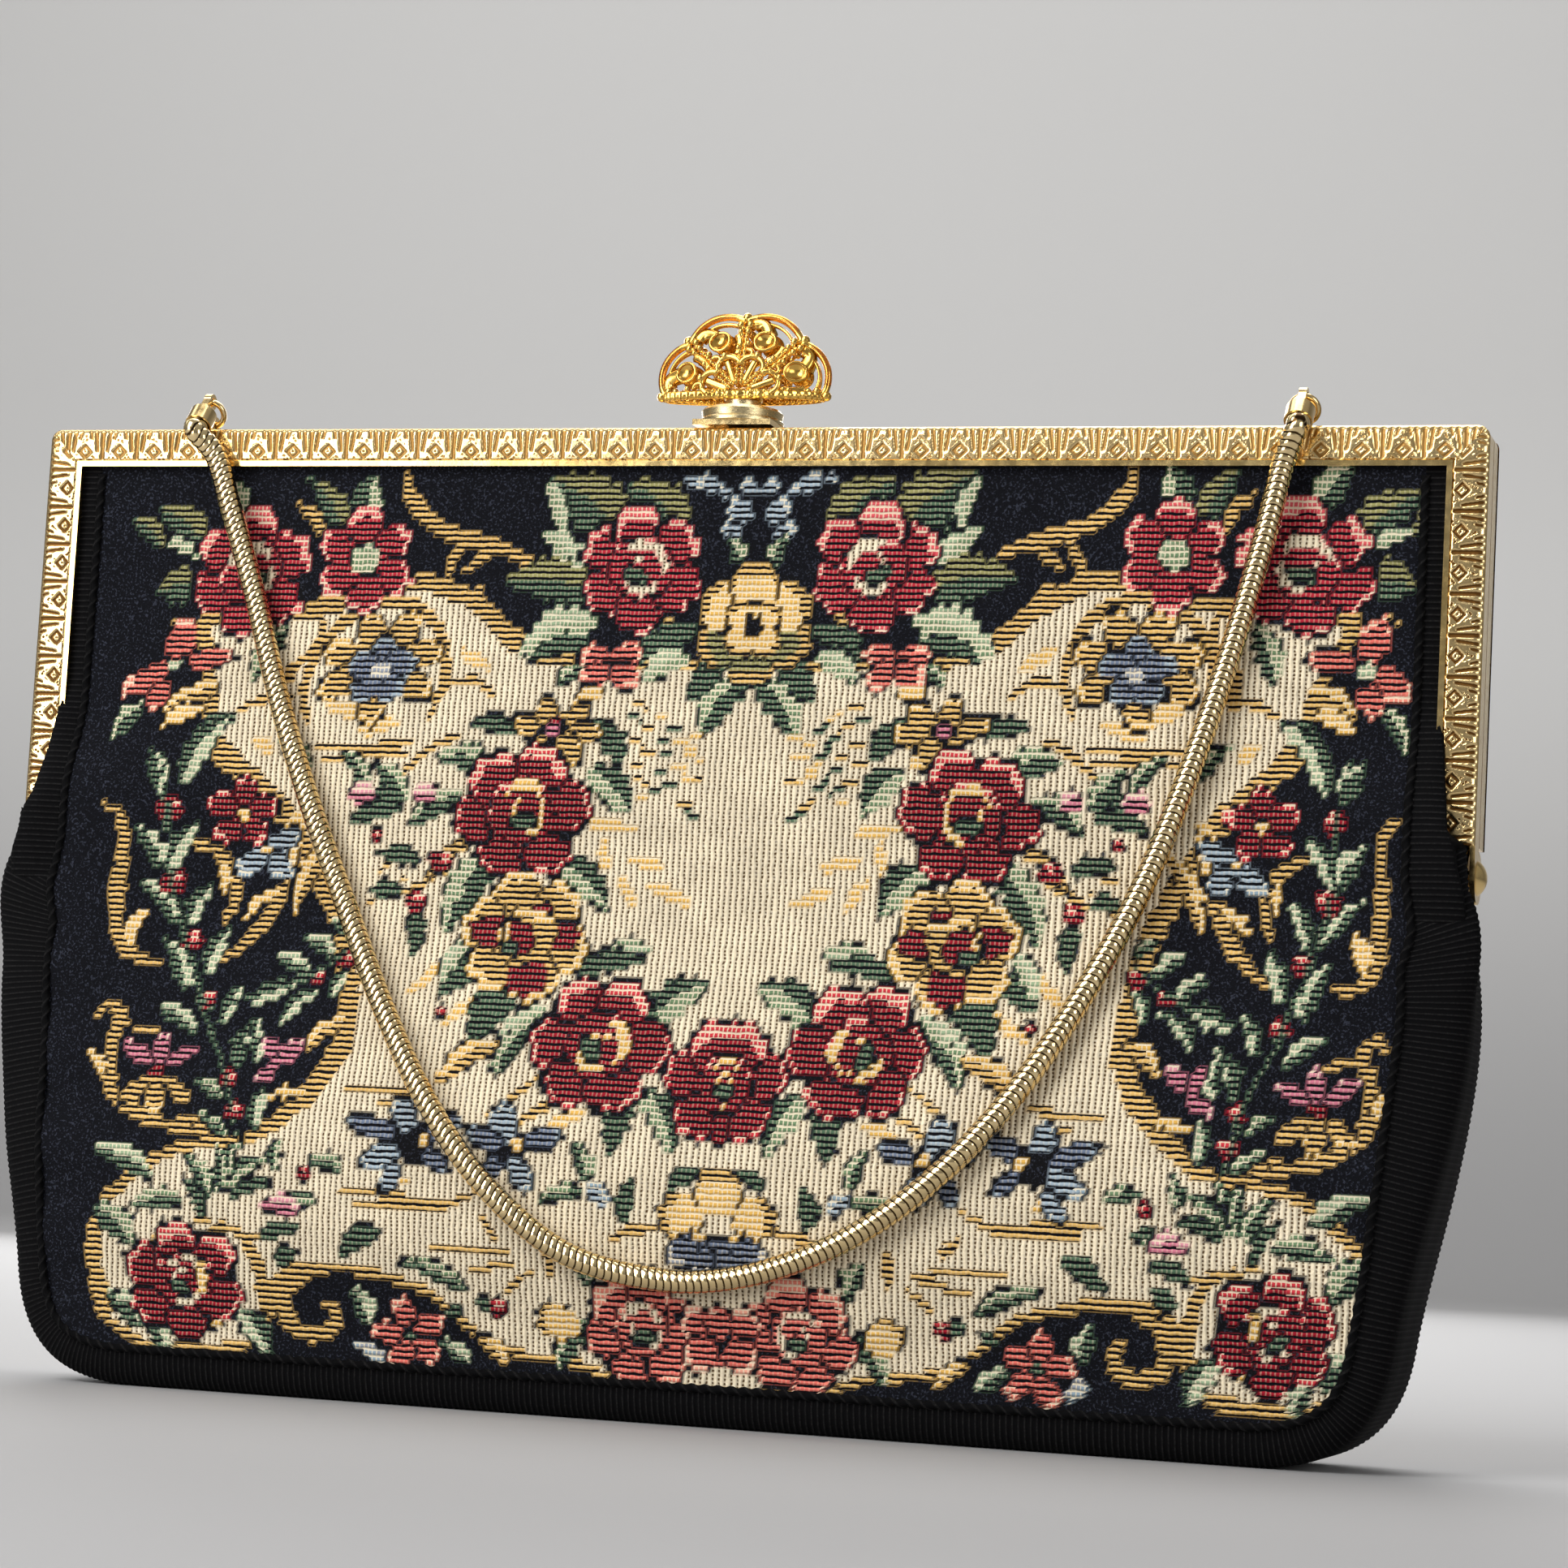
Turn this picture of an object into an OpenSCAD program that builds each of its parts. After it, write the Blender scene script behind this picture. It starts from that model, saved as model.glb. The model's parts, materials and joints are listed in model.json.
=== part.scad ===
// Tapestry evening bag on a hinged clasp frame, in millimetres.
// X is the width, the front faces -Y, Z is up, and the flat base stands on Z = 0.

/* [Frame] */
// Width over the frame
frame_w = 240; // [210:1:270]
// Height of the frame top above the base
bag_h = 157; // [145:1:175]
// Length of the arms, from the frame top to the hinge
arm_len = 68; // [58:1:78]
// Width of the embossed face
face_h = 6.2; // [5.6:0.1:7.5]
// Depth of one jaw
jaw_d = 5.8; // [5.6:0.1:7]
// Thickness of the frame sheet
sheet_t = 0.8; // [0.7:0.05:0.9]
// Gap between the closed jaws
jaw_gap = 0.4; // [0.3:0.1:0.8]
// Rounding of the frame's outer edges
edge_r = 1.2; // [0.8:0.1:1.3]
// Rounding of the frame's upper corners
corner_r = 1.8; // [1.4:0.1:2.4]
// Width of the polished rim along the window
rim_w = 0.9; // [0.6:0.1:1.2]
// Height of the polished rim over the face
rim_h = 0.3; // [0.2:0.05:0.5]

/* [Hinge] */
// Radius of the hinge ears
ear_r = 4; // [3.5:0.1:4.2]
// Gap between neighbouring ears
ear_gap = 0.3; // [0.2:0.05:0.5]
// Radius of the hinge rivet
rivet_r = 1.2; // [1:0.1:1.4]
// Radius of the domed rivet head
rivet_head_r = 2.7; // [2.2:0.1:3]
// Height of the domed rivet head
rivet_head_h = 1.4; // [1:0.1:1.8]

/* [Cloth] */
// Thickness of the tapestry
cloth_t = 1.4; // [1.1:0.1:1.5]
// Thickness of the ribbed ribbon
ribbon_t = 1.2; // [0.9:0.1:1.4]
// Thickness of the lining
lining_t = 0.6; // [0.4:0.1:0.8]
// Width of the ribbon between the outline and the seam
ribbon_inset = 6; // [5:0.25:7.5]
// Extra width of the ribbon where the sides swell
swell_w = 4; // [2:0.25:5]
// Half depth of the bag at its base seam
base_d = 14.5; // [13:0.5:16]
// Half depth of the bag at the hinge
neck_d = 5.4; // [5.2:0.1:6]
// Extra depth at the middle of a panel
crown_d = 4.5; // [3:0.25:6]
// Width of the ribbon strip between the tapestry and the arm
strip_w = 6.3; // [4.5:0.1:9]

/* [Clasp] */
// Radius of the collar under the fan
collar_r = 6.7; // [6:0.1:7.4]
// Height of the collar
collar_h = 2.4; // [2:0.1:3]
// Radius of the fan
fan_r = 14.4; // [12:0.2:16]
// Half depth of the puffed fan at its base
fan_d = 3.4; // [2.6:0.1:4]
// Number of sectors in the fan
fan_sectors = 4; // [4:1:5]
// Thickness of the filigree
filigree_t = 0.9; // [0.7:0.1:1.1]

/* [Chain] */
// Distance of each chain end from the frame's side
chain_inset = 28.5; // [22:0.5:40]
// Diameter of the chain
chain_dia = 3.7; // [3.2:0.1:3.8]

/* [Hidden] */
$fn = 48;
// The sub-parts, as exported one at a time
// Which sub-part to draw

eps = 0.01;
hinge_z = bag_h - arm_len;
// Lower end of the folded arm channels, above the ears
arm_end = hinge_z + ear_r + 0.5;
jaw_in = jaw_gap / 2;
// Outer faces of the two ears of one hinge
front_ear_x = frame_w / 2;
rear_ear_x = frame_w / 2 - sheet_t - ear_gap;
ear_run = 0.05;
joggle_h = 9;
gold = [0.80, 0.66, 0.36];
pale_gold = [0.83, 0.76, 0.56];
black = [0.06, 0.06, 0.07];
weave = [0.45, 0.33, 0.24];
silk = [0.75, 0.68, 0.55];

// Heights and depths that shape the cloth
channel_d = jaw_d - sheet_t - 0.3;
neck_z = hinge_z - 4;
full_z = 35;
crown_rise = 25;
cloth_top = bag_h - sheet_t - 0.6;
channel_half_w = frame_w / 2 - 3.2;
panel_half_w = channel_half_w - strip_w;
seam_gap = 0.12;
strip_gap = 0.3;
seam_z = ribbon_inset + seam_gap;
// The rear cloth is split just under the hinge, the upper part inside the lower one
split_z = hinge_z - 6;
shingle = cloth_t + 0.5;
lap = 7;
shingle_fade = 26;
// The lining, inside the cloth
lining_gap = 0.3;
lining_low = 8.5;
lining_floor = ribbon_t + 0.6;

// Clasp
latch_y = jaw_d + 1.5;
latch_z = bag_h + 0.3;
latch_r = 0.7;
knuckle_r = 1.25;
knuckle_half_w = 4.3;
lug_x = 7.3;
lever_t = 0.9;
lever_z = bag_h + 0.5;
lever_half_w = 6.5;
lever_front = -jaw_d - 0.4;
lever_d = 9.5;
collar_y = -0.4;
fan_z = lever_z + lever_t + collar_h + 1.4;
sector = 180 / fan_sectors;
valley_r = fan_r - 1.4;
fan_root_r = 3.2;

// Chain fittings
chain_x = frame_w / 2 - chain_inset;
lug_y = -3.1;
lug_bore_z = bag_h + 1.1;
ring_r = 2.1;
ring_wire = 0.5;
ring_lean = 30;
cap_len = 6.2;
cap_tilt = 50;
cap_eye = [0, lug_y - 2 * ring_r * sin(ring_lean), lug_bore_z + 2 * ring_r * cos(ring_lean)];
chain_r = chain_dia / 2;
sleeve_run = 0.08;
sleeve_r = chain_r + sleeve_run + 0.3;
sleeve_low = 3.2;
sleeve_floor = 3.8;

// Small helpers
function mix(a, b, t) = a + (b - a) * t;
function ramp(a, b, v) = let (t = min(1, max(0, (v - a) / (b - a)))) t * t * (3 - 2 * t);
function bezier(p, t) =
    p[0] * pow(1 - t, 3) + p[1] * 3 * t * pow(1 - t, 2)
    + p[2] * 3 * t * t * (1 - t) + p[3] * pow(t, 3);
function unit2(v) = v / norm(v);

// Right half of the bag's outline, from the flat base up to the hinge: a rounded corner, a side that
// leans outwards, and a swell that draws in under the hinge
corner_w = 22;
corner_h = 18;
taper = 8.8;
side_out = 0.8;
side_z = neck_z - 17;
neck_in = 3.8;
side_x = frame_w / 2 + side_out;
low_x = side_x - taper;
flat_half = low_x - corner_w;
corner_curve = [
    [flat_half, 0], [flat_half + corner_w * 0.6, 0],
    [low_x - taper * 0.2, corner_h * 0.28], [low_x, corner_h]];
side_curve = [
    [low_x, corner_h], [low_x + taper * 0.22, mix(corner_h, side_z, 0.28)],
    [side_x, mix(corner_h, side_z, 0.7)], [side_x, side_z]];
swell_curve = [
    [side_x, side_z], [side_x, mix(side_z, neck_z, 0.47)],
    [side_x - neck_in * 0.4, mix(side_z, neck_z, 0.76)], [side_x - neck_in, neck_z]];
half_path = concat(
    [for (i = [0:6]) bezier(corner_curve, i / 6)],
    [for (i = [1:5]) bezier(side_curve, i / 5)],
    [for (i = [1:5]) bezier(swell_curve, i / 5)]);
// Width of the ribbon from the outline to the seam, at a height of the outline
function inset(z) =
    ribbon_inset
    + swell_w * ramp(corner_h, mix(corner_h, side_z, 0.85), z) * ramp(neck_z + 2, side_z + 6, z);
path_n = len(half_path) - 1;
full_path = concat(
    [for (i = [path_n:-1:0]) [-half_path[i][0], half_path[i][1]]],
    half_path);
full_n = len(full_path) - 1;
function path_normal(i) =
    let (d = full_path[min(full_n, i + 1)] - full_path[max(0, i - 1)])
    abs(full_path[i][1]) < eps ? [0, -1] : unit2([d[1], -d[0]]);

// Half width of the tapestry at each height, from the seam line inside the outline
seam_rows = [for (i = [path_n + 1:full_n])
    let (q = full_path[i] - path_normal(i) * (inset(full_path[i][1]) + seam_gap)) [q[1], q[0]]];
width_rows = concat(seam_rows, [[neck_z + 3, panel_half_w], [bag_h, panel_half_w]]);
function half_w(z) = lookup(z, width_rows);

// Half depth of the bag, to the outside of the cloth
function seam_depth(z) =
    channel_d + (neck_d - channel_d) * ramp(bag_h - face_h, neck_z, z)
    + (base_d - neck_d) * ramp(neck_z, full_z, z);
function crown(z) =
    crown_d * ramp(bag_h - face_h, hinge_z, z) * ramp(seam_z, seam_z + crown_rise, z);
function depth(x, z) =
    seam_depth(z) + crown(z) * (1 - pow(min(1, abs(x) / half_w(z)), 2.5));

// Closed sheet between two grids of points, with u to the right and v up as seen from outside
module sheet(outer, inner, nu, nv) {
    m = nv + 1;
    b = (nu + 1) * m;
    points = concat(
        [for (i = [0:nu], j = [0:nv]) outer(i, j)],
        [for (i = [0:nu], j = [0:nv]) inner(i, j)]);
    quads = concat(
        [for (i = [0:nu - 1], j = [0:nv - 1])
            [i * m + j, i * m + j + 1, (i + 1) * m + j + 1, (i + 1) * m + j]],
        [for (i = [0:nu - 1], j = [0:nv - 1])
            [b + i * m + j, b + (i + 1) * m + j, b + (i + 1) * m + j + 1, b + i * m + j + 1]],
        [for (i = [0:nu - 1]) [i * m, (i + 1) * m, b + (i + 1) * m, b + i * m]],
        [for (i = [0:nu - 1])
            [(i + 1) * m + nv, i * m + nv, b + i * m + nv, b + (i + 1) * m + nv]],
        [for (j = [0:nv - 1]) [j + 1, j, b + j, b + j + 1]],
        [for (j = [0:nv - 1])
            [nu * m + j, nu * m + j + 1, b + nu * m + j + 1, b + nu * m + j]]);
    faces = [for (q = quads) each [[q[0], q[1], q[2]], [q[0], q[2], q[3]]]];
    polyhedron(points, faces, convexity = 6);
}

// Solid of the frame with rounded outer edges, for the front jaw
module frame_block() {
    intersection() {
        translate([0, -jaw_in, 0]) rotate([90, 0, 0]) linear_extrude(jaw_d - jaw_in)
            difference() {
                union() {
                    translate([-frame_w / 2, arm_end]) square([frame_w, bag_h - corner_r - arm_end]);
                    translate([-frame_w / 2 + corner_r, arm_end])
                        square([frame_w - 2 * corner_r, bag_h - arm_end]);
                    for (s = [-1, 1]) translate([s * (frame_w / 2 - corner_r), bag_h - corner_r])
                        circle(corner_r);
                }
                translate([-frame_w / 2 + face_h, arm_end - 1])
                    square([frame_w - 2 * face_h, bag_h - face_h - arm_end + 1]);
            }
        rotate([90, 0, 90]) translate([0, 0, -frame_w / 2 - 1]) linear_extrude(frame_w + 2)
            union() {
                translate([-jaw_d, arm_end - 1]) square([jaw_d, bag_h - edge_r - arm_end + 1]);
                translate([-jaw_d + edge_r, arm_end - 1]) square([jaw_d - edge_r, bag_h - arm_end + 1]);
                translate([-jaw_d + edge_r, bag_h - edge_r]) circle(edge_r);
            }
        translate([0, 0, arm_end - 1]) linear_extrude(bag_h - arm_end + 2)
            union() {
                translate([-frame_w / 2, -jaw_d + edge_r]) square([frame_w, jaw_d - edge_r]);
                translate([-frame_w / 2 + edge_r, -jaw_d]) square([frame_w - 2 * edge_r, jaw_d]);
                for (s = [-1, 1]) translate([s * (frame_w / 2 - edge_r), -jaw_d + edge_r])
                    circle(edge_r);
            }
    }
}

// Folded channel with its polished rim, for the front jaw
module jaw_channel() {
    difference() {
        frame_block();
        translate([-frame_w / 2 + sheet_t, -jaw_d + sheet_t, arm_end - 1])
            cube([frame_w - 2 * sheet_t, jaw_d - 2 * sheet_t - jaw_in, bag_h - sheet_t - arm_end + 1]);
    }
    window_x = frame_w / 2 - face_h;
    window_z = bag_h - face_h;
    translate([0, -jaw_d + eps, 0]) rotate([90, 0, 0]) linear_extrude(rim_h + eps)
        difference() {
            translate([-window_x - rim_w, arm_end])
                square([2 * (window_x + rim_w), window_z + rim_w - arm_end]);
            translate([-window_x, arm_end - 1]) square([2 * window_x, window_z - arm_end + 1]);
        }
}

// Hinge ear in the YZ plane, its outer face at x, on the arm of the front jaw
module ear(x, thick, bore) {
    translate([x - thick, 0, 0]) rotate([90, 0, 90]) linear_extrude(thick)
        difference() {
            union() {
                translate([0, hinge_z]) circle(ear_r);
                polygon([
                    [-jaw_d + edge_r, arm_end + 1], [-jaw_in, arm_end + 1],
                    [-jaw_in, hinge_z], [-ear_r, hinge_z]]);
            }
            translate([0, hinge_z]) circle(bore);
        }
}

module front_jaw() color(gold) {
    jaw_channel();
    for (s = [0, 1]) mirror([s, 0, 0]) ear(front_ear_x, sheet_t, rivet_r + ear_run);
}

module rear_jaw() color(gold) mirror([0, 1, 0]) {
    jaw_channel();
    for (s = [0, 1]) mirror([s, 0, 0]) {
        ear(rear_ear_x, sheet_t, rivet_r + ear_run);
        // Joggle that carries the inner ear inside the arm
        translate([rear_ear_x - sheet_t, -jaw_d + edge_r, arm_end])
            cube([sheet_t + ear_gap + eps, jaw_d - edge_r - jaw_in, joggle_h]);
    }
}

// Hinge rivet on the right, domed outside and spread inside
module hinge_rivet() {
    tail_x = rear_ear_x - sheet_t - 0.1;
    translate([0, 0, hinge_z]) rotate([0, 90, 0]) {
        translate([0, 0, tail_x - 0.7]) cylinder(r = 2, h = 0.7);
        translate([0, 0, tail_x - eps]) cylinder(r = rivet_r, h = front_ear_x - tail_x + 2 * eps);
        dome_r = (rivet_head_r * rivet_head_r + rivet_head_h * rivet_head_h) / (2 * rivet_head_h);
        translate([0, 0, front_ear_x]) intersection() {
            cylinder(r = rivet_head_r, h = rivet_head_h);
            translate([0, 0, rivet_head_h - dome_r]) sphere(dome_r);
        }
    }
}

module hinge_rivet_left() color(gold) mirror([1, 0, 0]) hinge_rivet();
module hinge_rivet_right() color(gold) hinge_rivet();

// Two lugs behind the rear jaw that carry the clasp's pin
module clasp_lugs() color(gold) {
    for (s = [-1, 1]) translate([s * lug_x - 0.5, 0, 0]) rotate([90, 0, 90]) linear_extrude(1)
        difference() {
            union() {
                translate([latch_y, latch_z]) circle(1.4);
                polygon([
                    [jaw_d, bag_h - 4.2], [latch_y + 1.2, latch_z - 0.7],
                    [latch_y - 0.9, latch_z + 1.05], [jaw_d, bag_h - edge_r]]);
            }
            translate([latch_y, latch_z]) circle(latch_r + ear_run);
        }
}

module clasp_pin() color(pale_gold)
    translate([-lug_x - 0.8, latch_y, latch_z]) rotate([0, 90, 0])
        cylinder(r = latch_r, h = 2 * lug_x + 1.6);

// Torsion springs on the pin, drawn as sleeves
module clasp_springs() color(pale_gold)
    for (s = [-1, 1]) translate([s * (knuckle_half_w + 1.3) - 0.9, latch_y, latch_z]) rotate([0, 90, 0])
        difference() {
            cylinder(r = 1.1, h = 1.8);
            translate([0, 0, -1]) cylinder(r = latch_r + ear_run, h = 4);
        }

// Plate under the collar, hinged behind the frame and reaching over the front jaw
module clasp_lever() color(pale_gold) {
    difference() {
        union() {
            translate([-lever_half_w, lever_front, lever_z]) cube([2 * lever_half_w, lever_d, lever_t]);
            translate([-knuckle_half_w, 2.5, lever_z]) cube([2 * knuckle_half_w, latch_y - 2.5, lever_t]);
            translate([-knuckle_half_w, latch_y, latch_z]) rotate([0, 90, 0])
                cylinder(r = knuckle_r, h = 2 * knuckle_half_w);
        }
        translate([-lug_x, latch_y, latch_z]) rotate([0, 90, 0])
            cylinder(r = latch_r + 0.08, h = 2 * lug_x);
    }
    // Snap stud over the front jaw
    translate([0, -jaw_d / 2, lever_z - 0.35]) cylinder(r1 = 0.9, r2 = 1.5, h = 0.35 + eps);
}

module clasp_collar() color(pale_gold) translate([0, collar_y, lever_z + lever_t]) rotate_extrude()
    polygon([
        [0, 0], [collar_r, 0], [collar_r, 0.5], [collar_r - 0.25, 0.8], [collar_r - 0.1, collar_h - 0.5],
        [collar_r - 0.6, collar_h], [3.3, collar_h], [2.9, collar_h + 0.5], [2.9, fan_z - lever_z - lever_t],
        [0, fan_z - lever_z - lever_t]]);

// One flat filigree sector, its tip at the origin and its rim upwards
module fan_sector_2d() {
    half = sector / 2;
    chord = valley_r * sin(half);
    rise = fan_r - valley_r * cos(half);
    lobe_r = (chord * chord + rise * rise) / (2 * rise);
    cup_y = fan_r * 0.71;
    arch_y = fan_r * 0.40;
    wedge = [[0, 0], [fan_r * 1.3 * sin(half), fan_r * 1.3 * cos(half)],
        [-fan_r * 1.3 * sin(half), fan_r * 1.3 * cos(half)]];
    intersection() {
        polygon(wedge);
        union() {
            // Scalloped rim
            difference() {
                translate([0, fan_r - lobe_r]) circle(lobe_r);
                translate([0, fan_r - lobe_r]) circle(lobe_r - 0.9);
                translate([-fan_r, -fan_r]) square([2 * fan_r, fan_r + valley_r * cos(half) - 1.4]);
            }
            // Inner cusp
            difference() {
                translate([0, arch_y]) circle(arch_y * sin(half) + 0.5);
                translate([0, arch_y]) circle(arch_y * sin(half) - 0.35);
                translate([-fan_r, -fan_r]) square([2 * fan_r, fan_r + arch_y]);
            }
            // Seat of the cup, its stem and two curls
            translate([0, cup_y]) circle(2);
            translate([-0.4, arch_y + 2]) square([0.8, fan_r - arch_y - 2.5]);
            for (s = [-1, 1]) {
                translate([s * 2.75, cup_y + 1]) difference() {
                    circle(1.3);
                    circle(0.6);
                }
                translate([s * 1.75, cup_y - 2]) difference() {
                    circle(1.05);
                    circle(0.45);
                }
            }
            // Root of the sector
            circle(fan_root_r);
        }
    }
}

// Front half of the puffed fan, its middle plane at Y = 0
module fan_half() {
    tilt = atan2(fan_d, valley_r);
    translate([0, -fan_d, 0]) {
        for (i = [0:fan_sectors - 1]) rotate([0, sector * (i + 0.5) - 90, 0]) rotate([90 - tilt, 0, 0]) {
            linear_extrude(filigree_t) fan_sector_2d();
            // Bezel cup
            translate([0, fan_r * 0.71, filigree_t - eps]) difference() {
                cylinder(r = 1.75, h = 0.9);
                translate([0, 0, 0.2]) cylinder(r = 1.25, h = 1);
            }
        }
        // Ribs with a bead at each end
        for (i = [0:fan_sectors]) rotate([0, sector * i - 90, 0]) rotate([-tilt, 0, 0]) {
            translate([0, -0.2, 1]) cylinder(r = 0.62, h = valley_r - 1);
            translate([0, -0.45, valley_r * 0.8]) sphere(0.85);
        }
    }
}

module fan_ornament() color(pale_gold) translate([0, collar_y, fan_z]) {
    fan_half();
    mirror([0, 1, 0]) fan_half();
    // Beads that close the rim, and the band under the fan
    for (i = [0:fan_sectors]) rotate([0, sector * i - 90, 0]) translate([0, 0, valley_r]) sphere(0.95);
    cylinder(r = fan_root_r + 0.2, h = 1.6);
}

// Lug with a bore along X on the front jaw, for a chain ring
module chain_lug() translate([-0.5, lug_y, 0]) rotate([90, 0, 90]) linear_extrude(1)
    difference() {
        union() {
            translate([0, lug_bore_z]) circle(1.45);
            translate([-1.45, bag_h]) square([2.9, lug_bore_z - bag_h]);
        }
        translate([-2, bag_h - 2]) square([4, 2]);
        translate([0, lug_bore_z]) circle(ring_wire + 0.2);
    }

module chain_lug_left() color(gold) translate([-chain_x, 0, 0]) chain_lug();
module chain_lug_right() color(gold) translate([chain_x, 0, 0]) chain_lug();

// Jump ring in the lug, leaning forward under the chain's pull
module chain_ring() translate([0, lug_y, lug_bore_z]) rotate([90 + ring_lean, 0, 0])
    translate([0, ring_r, 0]) rotate_extrude() translate([ring_r, 0]) circle(ring_wire);

module chain_ring_left() color(gold) translate([-chain_x, 0, 0]) chain_ring();
module chain_ring_right() color(gold) translate([chain_x, 0, 0]) chain_ring();

// Folded end of the chain: a flat eye over the ring, widening to a crimped sleeve
module chain_end() translate(cap_eye) rotate([90 + cap_tilt, 0, 0]) {
    difference() {
        union() {
            translate([-0.6, 0, 0]) rotate([0, 90, 0]) cylinder(r = 1.3, h = 1.2);
            translate([-0.6, -1.2, 0]) cube([1.2, 2.4, 2.2]);
            translate([0, 0, 2]) cylinder(r1 = 1.3, r2 = sleeve_r, h = sleeve_low - 2);
            translate([0, 0, sleeve_low - eps]) cylinder(r = sleeve_r, h = cap_len - sleeve_low);
        }
        translate([-3, 0, 0]) rotate([0, 90, 0]) cylinder(r = ring_wire + 0.15, h = 6);
        translate([0, 0, sleeve_floor]) cylinder(r = chain_r + sleeve_run, h = cap_len);
    }
}

module chain_end_left() color(gold) translate([-chain_x, 0, 0]) chain_end();
module chain_end_right() color(gold) translate([chain_x, 0, 0]) chain_end();

// Hanging chain: distance along X as a share of its span, and height, from left to right
cap_dir = [0, -cos(cap_tilt), -sin(cap_tilt)];
chain_start = cap_eye + cap_dir * (sleeve_floor + 0.2);
// Distances along the sleeve's axis of the points that keep the chain straight in it
lead_in = [0, cap_len - sleeve_floor, cap_len - sleeve_floor + 1.2];
chain_low = 22;
// How far under the frame's top the chain comes clear of the rim
chain_clear = 25;
hang = [
    [-0.965, 152], [-0.93, 144], [-0.87, 129], [-0.80, 111], [-0.72, 94], [-0.63, 77], [-0.53, 61],
    [-0.42, 46.5], [-0.30, 34.5], [-0.16, 25.5], [0, chain_low + 0.3], [0.14, 23.2], [0.28, 27.5],
    [0.40, 34], [0.51, 43], [0.61, 55], [0.70, 70], [0.78, 86], [0.845, 103], [0.90, 121], [0.95, 139],
    [0.975, 150]
];
// The chain lies against the cloth, and clear of the frame's rim
function chain_y(x, z) =
    -max(depth(x, z) + chain_r + 0.5,
        (jaw_d + rim_h + chain_r + 0.5) * ramp(hinge_z, bag_h - chain_clear, z));
chain_route = concat(
    [for (k = [0:2]) [-chain_x, 0, 0] + chain_start + cap_dir * lead_in[k]],
    [for (h = hang) [h[0] * chain_x, chain_y(h[0] * chain_x, h[1]), h[1]]],
    [for (k = [2:-1:0]) [chain_x, 0, 0] + chain_start + cap_dir * lead_in[k]]);
chain_n = len(chain_route) - 1;
chain_steps = 3;
function chain_at(i, t) =
    let (a = chain_route[max(0, i - 1)], b = chain_route[i], c = chain_route[i + 1],
        d = chain_route[min(chain_n, i + 2)])
    (b * 2 + (c - a) * t + (a * 2 - b * 5 + c * 4 - d) * t * t + (b * 3 - a - c * 3 + d) * t * t * t) / 2;
chain_points = concat(
    [for (i = [0:chain_n - 1], k = [0:chain_steps - 1]) chain_at(i, k / chain_steps)],
    [chain_route[chain_n]]);

// Round tube along a list of points
module tube(points, r, sides) {
    n = len(points) - 1;
    rings = [for (i = [0:n])
        let (d = points[min(n, i + 1)] - points[max(0, i - 1)], w = d / norm(d),
            s = cross(w, [0, 1, 0]), u = s / norm(s), v = cross(w, u))
        for (k = [0:sides - 1]) points[i] + (u * cos(360 * k / sides) + v * sin(360 * k / sides)) * r];
    walls = [for (i = [0:n - 1], k = [0:sides - 1])
        let (a = i * sides + k, b = i * sides + (k + 1) % sides)
        each [[a, a + sides, b + sides], [a, b + sides, b]]];
    polyhedron(rings, concat(walls,
        [[for (k = [0:sides - 1]) k]], [[for (k = [sides - 1:-1:0]) n * sides + k]]), convexity = 8);
}

module chain() color(gold) tube(chain_points, chain_r, 8);

// Tapestry of the front, clamped in the front jaw
panel_nu = 24;
front_rows = concat([for (r = seam_rows) if (r[0] < neck_z - 3) r[0]],
    [neck_z - 1, hinge_z + 3, 100, 110, 122, 136, 148, cloth_top]);
function panel_x(i, z) = half_w(z) * sin(90 * (2 * i / panel_nu - 1));
module front_panel() color(weave)
    sheet(
        function (i, j) let (z = front_rows[j], x = panel_x(i, z)) [x, -depth(x, z), z],
        function (i, j) let (z = front_rows[j], x = panel_x(i, z)) [x, -depth(x, z) + cloth_t, z],
        panel_nu, len(front_rows) - 1);

// Tapestry of the back below the split
rear_rows = concat([for (r = seam_rows) if (r[0] < split_z - 4) r[0]], [split_z]);
module rear_panel() color(weave) mirror([0, 1, 0])
    sheet(
        function (i, j) let (z = rear_rows[j], x = panel_x(i, z)) [x, -depth(x, z), z],
        function (i, j) let (z = rear_rows[j], x = panel_x(i, z)) [x, -depth(x, z) + cloth_t, z],
        panel_nu, len(rear_rows) - 1);

// Tapestry of the back above the split, which swings with the rear jaw
top_rows = [0, 0.1, 0.22, 0.36, 0.52, 0.68, 0.84, 0.93, 1];
function lap_z(x) = hinge_z - lap + (lap + 2) * ramp(0.62 * panel_half_w, 0.97 * panel_half_w, abs(x));
function top_z(x, j) = mix(lap_z(x), cloth_top, top_rows[j]);
function top_depth(x, z) = depth(x, z) - shingle * (1 - ramp(hinge_z, hinge_z + shingle_fade, z));
function top_x(i) = panel_half_w * sin(90 * (2 * i / panel_nu - 1));
module rear_panel_top() color(weave) mirror([0, 1, 0])
    sheet(
        function (i, j) let (x = top_x(i), z = top_z(x, j)) [x, -top_depth(x, z), z],
        function (i, j) let (x = top_x(i), z = top_z(x, j)) [x, -top_depth(x, z) + cloth_t, z],
        panel_nu, len(top_rows) - 1);

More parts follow.
